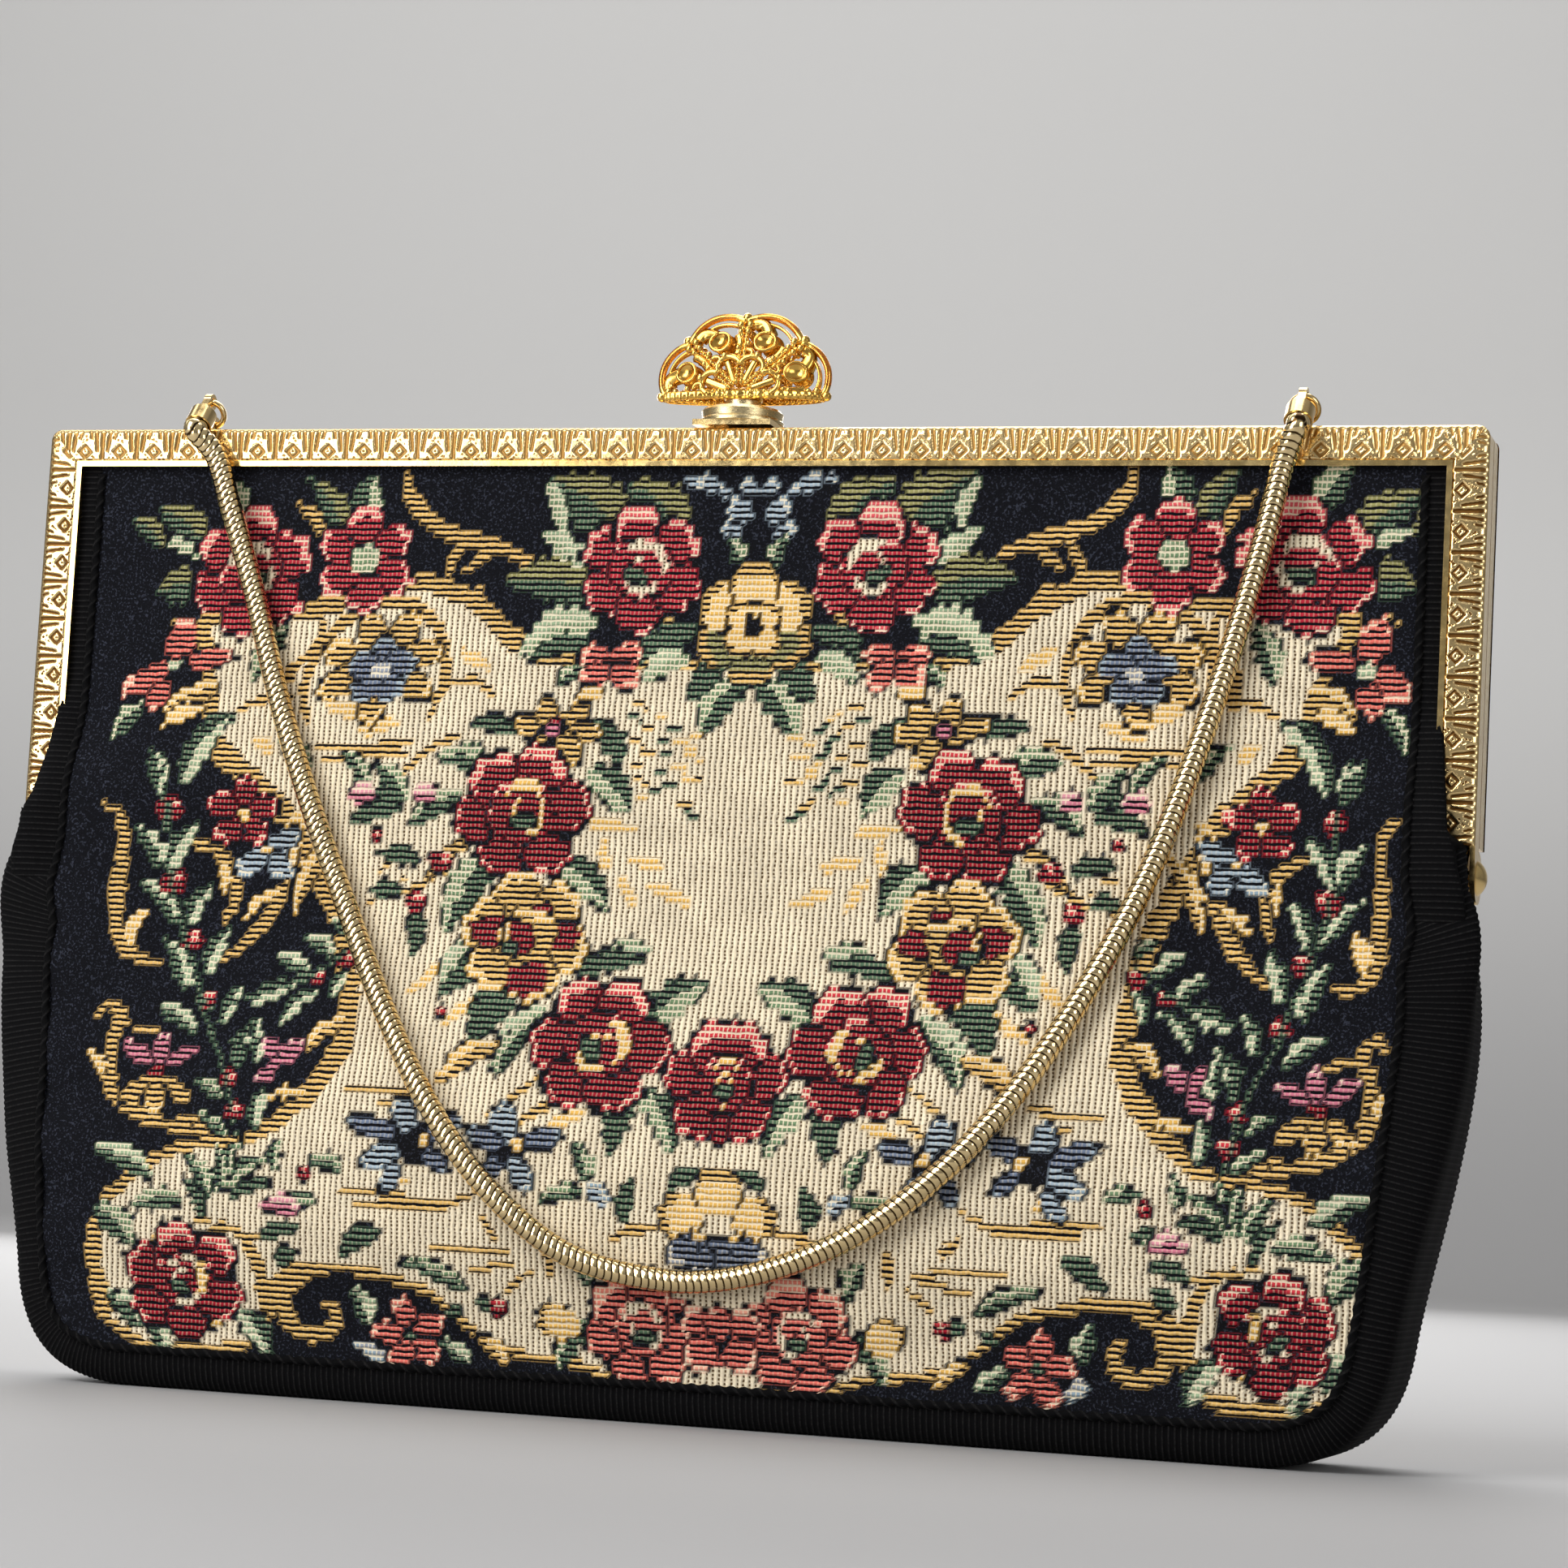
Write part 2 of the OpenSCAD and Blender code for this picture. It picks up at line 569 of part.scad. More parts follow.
// Ribbed ribbon round the sides and the base, rolled over at both seams
roll_steps = [0, 30, 60, 90];
gusset_arch = concat(
    [for (a = roll_steps) [sin(a), cos(a), 1]],
    [for (k = [3:-1:0]) [sin(roll_steps[k]), cos(roll_steps[k]), -1]]);
function gusset_at(i, j, t) =
    let (p = full_path[i], n = path_normal(i), a = gusset_arch[j],
        w = inset(p[1]), b = seam_depth(p[1] - n[1] * w), roll = min(3.5, 0.6 * b),
        off = (a[0] - 1) * w - t * a[0], y = a[2] * (b - roll + (roll - t) * a[1]))
    [p[0] + n[0] * off, y, p[1] + n[1] * off];
module gusset() color(black)
    sheet(
        function (i, j) gusset_at(i, j, 0),
        function (i, j) gusset_at(i, j, ribbon_t),
        full_n, len(gusset_arch) - 1);

// Upper ends of the ribbon between the tapestry and the arms, clamped in a jaw
module side_strips(low) {
    strip_rows = [low, mix(low, arm_end + 4, 0.5), arm_end + 4, 110, 125, 140, cloth_top];
    strip_xs = [strip_gap, strip_w * 0.25, strip_w * 0.5, strip_w];
    for (s = [-1, 1]) sheet(
        function (i, j) let (z = strip_rows[j], k = s > 0 ? i : 3 - i, e = strip_xs[k])
            [s * (panel_half_w + e), -mix(seam_depth(z), channel_d, k / 3), z],
        function (i, j) let (z = strip_rows[j], k = s > 0 ? i : 3 - i, e = strip_xs[k])
            [s * (panel_half_w + e), -mix(seam_depth(z), channel_d, k / 3) + ribbon_t, z],
        3, len(strip_rows) - 1);
}

module front_side_strips() color(black) side_strips(neck_z + 0.5);
module rear_side_strips() color(black) mirror([0, 1, 0]) side_strips(hinge_z + 2.5);

// Lining from the front jaw down, over the base and up to the split
lining_front = [cloth_top, 140, 124, 108, 96, 88, 80, 72, 64, 56, 46, 36, 22, lining_low];
lining_back = [lining_low, 22, 36, 46, 56, 64, 72, split_z - 2];
lining_n = len(lining_front) + len(lining_back) + 1;
function lining_half_w(z) = half_w(max(z, seam_z + 6)) - 3;
function lining_wall(i, z, side, t) =
    let (x = lining_half_w(z) * (1 - i / 8))
    [x, side * (depth(x, z) - cloth_t - lining_gap - t), z];
function lining_at(i, j, t) =
    let (nf = len(lining_front), nb = len(lining_back))
    j < nf ? lining_wall(i, lining_front[j], -1, t)
    : j < nf + 2 ?
        [(half_w(seam_z) - 6) * (1 - i / 8), (j == nf ? -1 : 1) * (base_d - 5.5 - t), lining_floor + t]
    : lining_wall(i, lining_back[j - nf - 2], 1, t);
module lining() color(silk)
    sheet(
        function (i, j) lining_at(i, j, 0),
        function (i, j) lining_at(i, j, lining_t),
        16, lining_n);

// Lining of the rear jaw's cloth
module lining_rear_flap() color(silk) mirror([0, 1, 0])
    sheet(
        function (i, j) let (x = 0.97 * top_x(1.5 * i), z = top_z(x, j))
            [x, -top_depth(x, z) + cloth_t + lining_gap, z],
        function (i, j) let (x = 0.97 * top_x(1.5 * i), z = top_z(x, j))
            [x, -top_depth(x, z) + cloth_t + lining_gap + lining_t, z],
        16, len(top_rows) - 1);

front_jaw();
rear_jaw();
hinge_rivet_left();
hinge_rivet_right();
clasp_lugs();
clasp_pin();
clasp_springs();
clasp_lever();
clasp_collar();
fan_ornament();
chain_lug_left();
chain_lug_right();
chain_ring_left();
chain_ring_right();
chain_end_left();
chain_end_right();
chain();
front_panel();
rear_panel();
rear_panel_top();
gusset();
front_side_strips();
rear_side_strips();
lining();
lining_rear_flap();
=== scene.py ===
"""Tapestry evening bag: dresses a hinged clasp frame with woven panels, ribbed band, gold and chain."""

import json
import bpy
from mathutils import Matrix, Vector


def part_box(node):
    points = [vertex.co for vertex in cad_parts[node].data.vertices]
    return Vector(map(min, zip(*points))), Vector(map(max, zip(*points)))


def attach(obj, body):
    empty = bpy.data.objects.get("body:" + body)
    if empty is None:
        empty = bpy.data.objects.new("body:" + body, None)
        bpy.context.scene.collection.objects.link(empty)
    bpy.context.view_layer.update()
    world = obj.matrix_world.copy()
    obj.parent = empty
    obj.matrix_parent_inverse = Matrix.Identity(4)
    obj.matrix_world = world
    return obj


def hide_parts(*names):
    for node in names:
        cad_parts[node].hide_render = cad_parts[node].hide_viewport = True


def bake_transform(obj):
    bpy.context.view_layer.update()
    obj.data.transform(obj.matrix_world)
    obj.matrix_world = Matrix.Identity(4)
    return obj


bl_info = {
    "name": "Tapestry evening bag",
    "version": (1, 0, 0),
    "blender": (4, 5, 0),
    "location": "3D View > Sidebar > Bag",
    "description": "Woven panels, ribbed band, embossed frame, fan clasp and chain of an evening bag",
    "category": "Object",
}

from collections import namedtuple

import bpy
import numpy as np
from mathutils import Matrix, Vector

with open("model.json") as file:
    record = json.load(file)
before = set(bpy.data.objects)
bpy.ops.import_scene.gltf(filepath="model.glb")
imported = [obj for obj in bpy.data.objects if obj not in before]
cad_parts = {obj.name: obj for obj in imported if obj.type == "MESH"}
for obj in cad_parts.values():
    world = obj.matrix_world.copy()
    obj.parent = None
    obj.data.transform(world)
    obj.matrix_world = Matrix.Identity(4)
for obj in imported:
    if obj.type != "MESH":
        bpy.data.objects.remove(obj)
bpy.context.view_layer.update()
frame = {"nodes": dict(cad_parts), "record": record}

# Shapes are worked out in millimetres and put into meshes in metres
MM = 0.001
FRONT, REAR, CLASP = "front_half", "rear_half", "clasp"


def node_box(name):
    """Lowest and highest corner of a CAD node, in millimetres."""
    low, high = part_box(name)
    return np.array(low) / MM, np.array(high) / MM


def joint_place(name):
    """Where a joint's axis passes, in millimetres."""
    for joint in frame["record"]["behaviour"]["joints"]:
        if joint["name"] == name:
            return np.array(joint["pos_m"]) / MM
    raise ValueError(f"the frame has no joint named {name}")


JAW_LOW, JAW_HIGH = node_box("front_jaw")
FRAME_W = JAW_HIGH[0] - JAW_LOW[0]
BAG_H = JAW_HIGH[2]
HINGE_Z = joint_place("frame_hinge")[2]
# Sizes of the frame's folded sheet and of the cloth in it, as in the solids
FACE_H = 6.2
RIM_H = 0.3
JAW_D = -JAW_LOW[1] - RIM_H
SHEET_T = 0.8
EDGE_R = 1.2
CORNER_R = 1.8
RIM_W = 0.9
ARM_END = HINGE_Z + 4.5
CHANNEL_D = JAW_D - SHEET_T - 0.3
NECK_Z = HINGE_Z - 4
SIDE_Z = NECK_Z - 17
CORNER_H = 18
FULL_DEPTH_Z = 35
CLOTH_TOP = BAG_H - SHEET_T - 0.6
CHANNEL_HALF_W = FRAME_W / 2 - 3.2
LUG_LOW, LUG_HIGH = node_box("chain_lug_right")
FAN_REACH = node_box("fan_ornament")[1][0] - 0.2
FAN_DOME = 3.0
FAN_SQUASH = 0.93
COLLAR_LOW, COLLAR_HIGH = node_box("clasp_collar")


def srgb(red, green, blue):
    """Linear colour from the 0 to 255 values that a paint chart gives."""
    value = np.array([red, green, blue]) / 255.0
    linear = np.where(value <= 0.04045, value / 12.92, ((value + 0.055) / 1.055) ** 2.4)
    return tuple(float(v) for v in linear)


def length(name, description, millimetres, low, high):
    """A size that a user may change, kept in metres."""
    return bpy.props.FloatProperty(
        name=name, description=description, default=millimetres * MM, min=low * MM, max=high * MM,
        unit="LENGTH", precision=5)


def paint(name, description, red, green, blue):
    """A colour that a user may change."""
    return bpy.props.FloatVectorProperty(
        name=name, description=description, default=srgb(red, green, blue), size=3, min=0, max=1,
        subtype="COLOR")


class BagSizes(bpy.types.PropertyGroup):
    """Sizes of the bag's soft parts, trim and chain."""

    base_depth: length("Base depth", "Half depth at the base seam", 14.5, 13, 16)
    neck_depth: length("Neck depth", "Half depth at the hinge", 5.4, 5.2, 6)
    crown_depth: length("Crown", "Extra depth at the middle of a panel", 4.5, 3, 6)
    ribbon_inset: length("Ribbon inset", "Ribbon between the outline and the seam", 6, 5, 7.5)
    swell_width: length("Swell", "Extra ribbon where the sides swell", 4, 2, 5)
    strip_width: length("Strip", "Ribbon between the tapestry and the arm", 6.3, 4.5, 9)
    hinge_puff: length("Hinge puff", "How far the front edge swells out beside the hinge", 4.6, 0, 5)
    rib_pitch: length("Rib pitch", "Distance between the ribbon's ribs", 0.95, 0.6, 1.5)
    weft_pitch: length("Weft pitch", "Distance between coloured weft rows", 1.0, 0.6, 1.5)
    bead_pitch: length("Bead pitch", "Distance between the stitches of a row", 0.72, 0.5, 1)
    cord_pitch: length("Cord pitch", "Distance between the cream ground's cords", 0.98, 0.6, 1.5)
    emboss_pitch: length("Emboss pitch", "Repeat of the frame's embossing", 6.3, 4, 9)
    emboss_depth: length("Emboss depth", "Height of the frame's embossing", 0.26, 0.1, 0.4)
    chain_diameter: length("Chain", "Diameter of the chain", 3.7, 3.2, 3.8)
    link_pitch: length("Link pitch", "Distance between the chain's links", 1.2, 0.8, 1.6)


class BagColours(bpy.types.PropertyGroup):
    """Colours of the threads and metals."""

    ground: paint("Ground", "Navy black ground of the tapestry", 11, 11, 18)
    cream: paint("Cream", "Corded cream field", 234, 220, 190)
    ribbon: paint("Ribbon", "Black ribbed ribbon", 4, 4, 5)
    lining: paint("Lining", "Satin lining", 196, 178, 142)
    gold: paint("Gold", "Frame and small fittings", 236, 208, 152)
    chain: paint("Chain", "Links of the chain", 242, 216, 162)
    pale_gold: paint("Pale gold", "Clasp", 238, 192, 100)
    floor: paint("Floor", "Studio floor", 214, 213, 211)


# The bag's outline and depth, as in the solids


def ramp(start, end, value):
    """Smooth 0 to 1 step between start and end."""
    t = np.clip((value - start) / (end - start), 0, 1)
    return t * t * (3 - 2 * t)


def bezier(points, t):
    """Cubic Bezier curve through the first and last of four points."""
    p = np.asarray(points, float)
    t = np.asarray(t, float)[:, None]
    return p[0] * (1 - t) ** 3 + 3 * p[1] * t * (1 - t) ** 2 + 3 * p[2] * t * t * (1 - t) + p[3] * t**3


def sizes():
    """The size group, in the scene."""
    return bpy.context.scene.bag_sizes


def colours():
    """The colour group, in the scene."""
    return bpy.context.scene.bag_colours


def outline(samples):
    """Right half of the outline in XZ, from the flat base up to the hinge, and its outward normals."""
    corner_w, taper, neck_in = 22, 8.8, 3.8
    side = FRAME_W / 2 + 0.8
    low = side - taper
    rise, drop = SIDE_Z - CORNER_H, NECK_Z - SIDE_Z
    corner = [(low - corner_w, 0), (low - 0.4 * corner_w, 0), (low - 0.2 * taper, 0.28 * CORNER_H),
              (low, CORNER_H)]
    flank = [(low, CORNER_H), (low + 0.22 * taper, CORNER_H + 0.28 * rise), (side, CORNER_H + 0.7 * rise),
             (side, SIDE_Z)]
    swell = [(side, SIDE_Z), (side, SIDE_Z + 0.47 * drop), (side - 0.4 * neck_in, SIDE_Z + 0.76 * drop),
             (side - neck_in, NECK_Z)]
    t = np.linspace(0, 1, samples)
    points = np.vstack([bezier(corner, t), bezier(flank, t)[1:], bezier(swell, t)[1:]])
    slope = np.gradient(points, axis=0)
    normals = np.stack([slope[:, 1], -slope[:, 0]], axis=1)
    normals /= np.linalg.norm(normals, axis=1)[:, None]
    normals[0] = (0, -1)
    return points, normals


def ribbon_width(z):
    """Width of the ribbon from the outline to the seam at a height, more where the sides swell."""
    size = sizes()
    full = CORNER_H + 0.85 * (SIDE_Z - CORNER_H)
    swell = ramp(CORNER_H, full, z) * ramp(NECK_Z + 2, SIDE_Z + 6, z)
    return (size.ribbon_inset + size.swell_width * swell) / MM


def seam_line(samples=160):
    """Right half of the seam inside the outline, then straight up beside the arm."""
    points, normals = outline(samples)
    seam = points - normals * ribbon_width(points[:, 1])[:, None]
    panel_half_w = CHANNEL_HALF_W - sizes().strip_width / MM
    return np.vstack([seam, [[panel_half_w, NECK_Z + 3], [panel_half_w, BAG_H]]])


def half_width(z):
    """Half width of the tapestry at a height."""
    seam = seam_line()
    return np.interp(z, seam[:, 1], seam[:, 0])


def seam_depth(z):
    """Half depth of the bag at its seam."""
    size = sizes()
    neck, base = size.neck_depth / MM, size.base_depth / MM
    return (CHANNEL_D + (neck - CHANNEL_D) * ramp(BAG_H - FACE_H, NECK_Z, z)
            + (base - neck) * ramp(NECK_Z, FULL_DEPTH_Z, z))


def puff(z):
    """How far the front edge swells out beside the hinge, in front of the frame."""
    return sizes().hinge_puff / MM * ramp(BAG_H - 45, HINGE_Z + 6, z) * ramp(45, NECK_Z - 4, z)


def depth(x, z, front=False):
    """Half depth to the outside of the cloth: the seam's depth, a crown over the middle, an edge puff."""
    size = sizes()
    inset = size.ribbon_inset / MM
    share = np.minimum(1, np.abs(x) / half_width(z))
    crown = size.crown_depth / MM * ramp(BAG_H - FACE_H, HINGE_Z, z) * ramp(inset, inset + 25, z)
    edge = puff(z) * ramp(0.7, 1.0, share) if front else 0
    return seam_depth(z) + crown * (1 - share**2.5) + edge


# Mesh building

Patch = namedtuple("Patch", "points quads values")


def grid(points, close_u=False, close_v=False, **values):
    """Quads over an array of points (rows u, columns v); the outside is du cross dv."""
    nu, nv = points.shape[:2]
    i, j = np.meshgrid(
        np.arange(nu if close_u else nu - 1), np.arange(nv if close_v else nv - 1), indexing="ij")
    i, j = i.ravel(), j.ravel()
    i1, j1 = (i + 1) % nu, (j + 1) % nv
    quads = np.stack([i * nv + j, i1 * nv + j, i1 * nv + j1, i * nv + j1], axis=1)
    flat = {name: np.asarray(value).reshape(nu * nv, -1) for name, value in values.items()}
    return Patch(points.reshape(-1, 3), quads, flat)


def flipped(patch):
    """The same patch seen from its other side."""
    return Patch(patch.points, patch.quads[:, ::-1], patch.values)


def mirrored(patch, axis):
    """A copy mirrored along x or y, with its outside kept."""
    signs = np.array([-1 if name == axis else 1 for name in "xyz"])
    return flipped(Patch(patch.points * signs, patch.quads, patch.values))


def lengths_along(path):
    """Distance from a path's first point to each of its points."""
    return np.concatenate([[0], np.cumsum(np.linalg.norm(np.diff(path, axis=0), axis=1))])


def across_path(points, up):
    """Two directions across a path at each of its points."""
    tangent = np.gradient(points, axis=0)
    tangent /= np.linalg.norm(tangent, axis=1)[:, None]
    side = np.cross(tangent, np.asarray(up, float))
    side /= np.linalg.norm(side, axis=1)[:, None]
    return side, np.cross(tangent, side)


def tube(points, radius, sides, up=(0, 1, 0), caps=True):
    """Round wire along a path; radius is one number or one for each point and side."""
    side, normal = across_path(points, up)
    angle = np.linspace(0, 2 * np.pi, sides, endpoint=False)
    ring = side[:, None] * np.cos(angle)[None, :, None] + normal[:, None] * np.sin(angle)[None, :, None]
    reach = np.broadcast_to(np.asarray(radius, float).reshape(-1, 1) if np.ndim(radius) == 1
                            else radius, (len(points), sides))
    skin = points[:, None] + ring * reach[..., None]
    if caps:
        ends = [np.repeat(points[:1, None], sides, 1), np.repeat(points[-1:, None], sides, 1)]
        skin = np.concatenate([ends[0], skin, ends[1]])
    return grid(skin, close_v=True)


def bead(centre, radius):
    """Small ball: the six sides of a cube, three faces along each edge, pushed out to a sphere."""
    t = np.tan(np.linspace(-1, 1, 4) * np.pi / 4)
    a, b = np.meshgrid(t, t, indexing="ij")
    one = np.ones_like(a)
    sides = [(a, b, one), (b, a, -one), (one, a, b), (-one, b, a), (b, one, a), (a, -one, b)]
    patches = []
    for side in sides:
        p = np.stack(side, axis=-1)
        p = p / np.linalg.norm(p, axis=-1)[..., None] * radius + np.array(centre)
        patches.append(grid(p))
    return patches


def build(name, patches, material):
    """One mesh object from patches in millimetres, with their UVs and attributes."""
    points = np.concatenate([p.points for p in patches]) * MM
    starts = np.cumsum([0] + [len(p.points) for p in patches[:-1]])
    quads = np.concatenate([p.quads + s for p, s in zip(patches, starts)])
    mesh = bpy.data.meshes.new(name)
    mesh.vertices.add(len(points))
    mesh.vertices.foreach_set("co", points.astype(np.float32).ravel())
    mesh.loops.add(quads.size)
    mesh.loops.foreach_set("vertex_index", quads.astype(np.int32).ravel())
    mesh.polygons.add(len(quads))
    mesh.polygons.foreach_set("loop_start", np.arange(0, quads.size, 4, dtype=np.int32))
    mesh.polygons.foreach_set("use_smooth", np.ones(len(quads), bool))
    mesh.update(calc_edges=True)
    for key in patches[0].values:
        value = np.concatenate([p.values[key] for p in patches])
        if key == "uv":
            layer = mesh.uv_layers.new(name="UVMap")
            layer.data.foreach_set("uv", value[quads.ravel()].astype(np.float32).ravel())
        elif value.shape[1] == 3:
            rgba = np.column_stack([value, np.ones(len(value))])
            attribute = mesh.attributes.new(key, "FLOAT_COLOR", "POINT")
            attribute.data.foreach_set("color", rgba.astype(np.float32).ravel())
        else:
            attribute = mesh.attributes.new(key, "FLOAT", "POINT")
            attribute.data.foreach_set("value", value.astype(np.float32).ravel())
    mesh.validate()
    mesh.materials.append(material)
    piece = bpy.data.objects.new(name, mesh)
    bpy.context.scene.collection.objects.link(piece)
    return piece


# Materials


class Nodes:
    """Short names for the nodes of one material."""

    def __init__(self, name):
        self.material = bpy.data.materials.new(name)
        self.material.use_nodes = True
        self.tree = self.material.node_tree
        self.shader = self.tree.nodes["Principled BSDF"]

    def add(self, kind, **settings):
        """A node of one kind with its settings."""
        node = self.tree.nodes.new(kind)
        for key, value in settings.items():
            setattr(node, key, value)
        return node

    def set(self, socket, value):
        """Links an output into a socket, or gives the socket a value."""
        if isinstance(value, bpy.types.NodeSocket):
            self.tree.links.new(value, socket)
        else:
            socket.default_value = value

    def look(self, **sockets):
        """Sets sockets of the main shader; spaces in their names are written as underscores."""
        for key, value in sockets.items():
            socket = self.shader.inputs[key.replace("_", " ")]
            if isinstance(value, tuple) and len(value) == 3 and socket.type == "RGBA":
                value = (*value, 1)
            self.set(socket, value)

    def math(self, operation, a, b=0.0, clamp=False):
        """One arithmetic step."""
        node = self.add("ShaderNodeMath", operation=operation, use_clamp=clamp)
        self.set(node.inputs[0], a)
        self.set(node.inputs[1], b)
        return node.outputs[0]

    def mix(self, factor, a, b, blend="MIX"):
        """Colour a turning to colour b."""
        node = self.add("ShaderNodeMix", data_type="RGBA", blend_type=blend)
        self.set(node.inputs["Factor"], factor)
        colour_a = [s for s in node.inputs if s.name == "A" and s.type == "RGBA"][0]
        colour_b = [s for s in node.inputs if s.name == "B" and s.type == "RGBA"][0]
        self.set(colour_a, (*a, 1) if isinstance(a, tuple) and len(a) == 3 else a)
        self.set(colour_b, (*b, 1) if isinstance(b, tuple) and len(b) == 3 else b)
        return [s for s in node.outputs if s.type == "RGBA"][0]

    def span(self, value, low, high, to_low=0.0, to_high=1.0, smooth=True):
        """Maps a value from one range to another."""
        node = self.add("ShaderNodeMapRange", interpolation_type="SMOOTHSTEP" if smooth else "LINEAR")
        for socket, number in zip(node.inputs, (value, low, high, to_low, to_high)):
            self.set(socket, number)
        return node.outputs[0]

    def wave(self, distance, pitch):
        """0 to 1 ripple with that pitch along a distance."""
        turns = self.math("MULTIPLY", distance, 2 * np.pi / pitch)
        return self.math("ADD", self.math("MULTIPLY", self.math("SINE", turns), 0.5), 0.5)

    def noise(self, scale, detail, stretch=None):
        """Soft noise on object coordinates, in noise cells per metre."""
        node = self.add("ShaderNodeTexNoise")
        node.inputs["Scale"].default_value = scale
        node.inputs["Detail"].default_value = detail
        source = self.add("ShaderNodeTexCoord").outputs["Object"]
        if stretch:
            mapping = self.add("ShaderNodeMapping")
            mapping.inputs["Scale"].default_value = stretch
            self.set(mapping.inputs["Vector"], source)
            source = mapping.outputs[0]
        self.set(node.inputs["Vector"], source)
        return node.outputs["Fac"]

    def bump(self, height, distance, strength):
        """Bump of a height in metres times distance."""
        node = self.add("ShaderNodeBump")
        node.inputs["Strength"].default_value = strength
        node.inputs["Distance"].default_value = distance
        self.set(node.inputs["Height"], height)
        self.set(self.shader.inputs["Normal"], node.outputs[0])

    def attribute(self, name, output="Fac"):
        """A value stored on the mesh."""
        return self.add("ShaderNodeAttribute", attribute_name=name).outputs[output]

    def uv_mm(self):
        """The cloth's own coordinates in millimetres: across and along."""
        split = self.add("ShaderNodeSeparateXYZ")
        self.set(split.inputs[0], self.add("ShaderNodeUVMap", uv_map="UVMap").outputs[0])
        return tuple(self.math("MULTIPLY", split.outputs[k], 100.0) for k in (0, 1))

    def height(self):
        """Height over the floor in metres."""
        split = self.add("ShaderNodeSeparateXYZ")
        self.set(split.inputs[0], self.add("ShaderNodeTexCoord").outputs["Object"])
        return split.outputs[2]


def tinted(colour, factors):
    """A colour with its red, green and blue each taken down."""
    return tuple(c * f for c, f in zip(colour, factors))


def tapestry_material():
    """Woven picture: rows of stitches over black or cream, corded cream ground and a navy crepe ground."""
    size, colour = sizes(), colours()
    n = Nodes("woven_tapestry")
    across, along = n.uv_mm()
    wobble = n.math("MULTIPLY", n.math("SUBTRACT", n.noise(700, 2), 0.5), 0.5)
    across = n.math("ADD", across, wobble)
    along = n.math("ADD", along, wobble)
    picture = n.attribute("picture", "Color")
    kinds = n.add("ShaderNodeSeparateColor")
    n.set(kinds.inputs[0], n.attribute("weave", "Color"))
    lined, light, corded = (n.span(kinds.outputs[k], 0.35, 0.65) for k in range(3))
    # Rows peak on whole pitches, where the picture was sampled
    row = n.wave(n.math("ADD", along, 0.25 * size.weft_pitch / MM), size.weft_pitch / MM)
    stitch = n.wave(across, size.bead_pitch / MM)
    cord = n.wave(across, size.cord_pitch / MM)
    rough = n.noise(2600, 3)
    pale = n.mix(0.45, picture, tuple(colour.cream))
    beads = n.mix(n.math("MULTIPLY", n.span(stitch, 0.55, 0.95), 0.5), picture, pale)
    over_black = n.mix(n.span(row, 0.26, 0.56), tuple(0.7 * c for c in colour.ground), beads)
    between = n.math("MULTIPLY", n.span(stitch, 0.34, 0.08), 0.8)
    lattice = n.math("MAXIMUM", n.span(row, 0.42, 0.14), between)
    over_cream = n.mix(n.math("MULTIPLY", lattice, 0.85), picture, tuple(colour.cream))
    specks = n.wave(along, 0.62)
    groove = n.math("MULTIPLY", n.span(cord, 0.42, 0.1), n.span(specks, 0.15, 0.6, 0.4, 1.0))
    cords = n.mix(groove, picture, srgb(82, 60, 33))
    cords = n.mix(n.math("MULTIPLY", n.span(rough, 0.5, 0.75), 0.3), cords, srgb(250, 242, 222))
    crepe = n.mix(n.span(n.noise(2600, 2), 0.52, 0.7), picture, srgb(46, 49, 60))
    cloth = n.mix(lined, crepe, over_black)
    cloth = n.mix(light, cloth, over_cream)
    cloth = n.mix(corded, cloth, cords)
    shade = n.span(n.noise(160, 3), 0.3, 0.7, 0.88, 1.04)
    n.look(Base_Color=n.mix(1.0, cloth, shade, "MULTIPLY"), Roughness=0.92, Specular_IOR_Level=0.14)
    rows = n.math("MULTIPLY", row, n.math("ADD", lined, light))
    ribs = n.math("MULTIPLY", cord, corded)
    lift = n.math("MULTIPLY", n.math("ADD", n.math("ADD", lined, light), corded), 0.8)
    height = n.math("ADD", n.math("ADD", rows, ribs), n.math("ADD", lift, n.math("MULTIPLY", rough, 0.7)))
    n.bump(height, 0.00025, 0.9)
    return n.material


def ribbon_material():
    """Black ribbed ribbon: near black, each rib's crest a little paler as painted sheen, with fine yarns
    along the ribs.
    """
    n = Nodes("ribbed_ribbon")
    crest = n.span(n.attribute("crest"), 0.66, 1.0)
    yarn = n.span(n.noise(2600, 4), 0.35, 0.75)
    # Painted sheen: rib crests, and the seam cords' strand tops, are mixed towards grey, broken up by yarn
    # noise
    painted_crest_sheen = n.math("MULTIPLY", crest, n.math("ADD", n.math("MULTIPLY", yarn, 0.6), 0.3))
    n.look(Base_Color=n.mix(painted_crest_sheen, tuple(colours().ribbon), srgb(37, 36, 36)))
    n.look(Roughness=0.9, Specular_IOR_Level=0.1)
    n.bump(n.noise(5200, 2, stretch=(1, 0.25, 1)), 0.00008, 0.6)
    return n.material


def lining_material():
    """Plain satin lining with soft crumples."""
    n = Nodes("satin_lining")
    tone = n.span(n.noise(70, 4), 0.3, 0.7)
    base = tuple(colours().lining)
    n.look(Base_Color=n.mix(tone, tinted(base, (0.8, 0.8, 0.8)), base), Roughness=0.45, Sheen_Weight=0.2)
    n.bump(n.noise(110, 5), 0.0006, 0.5)
    return n.material


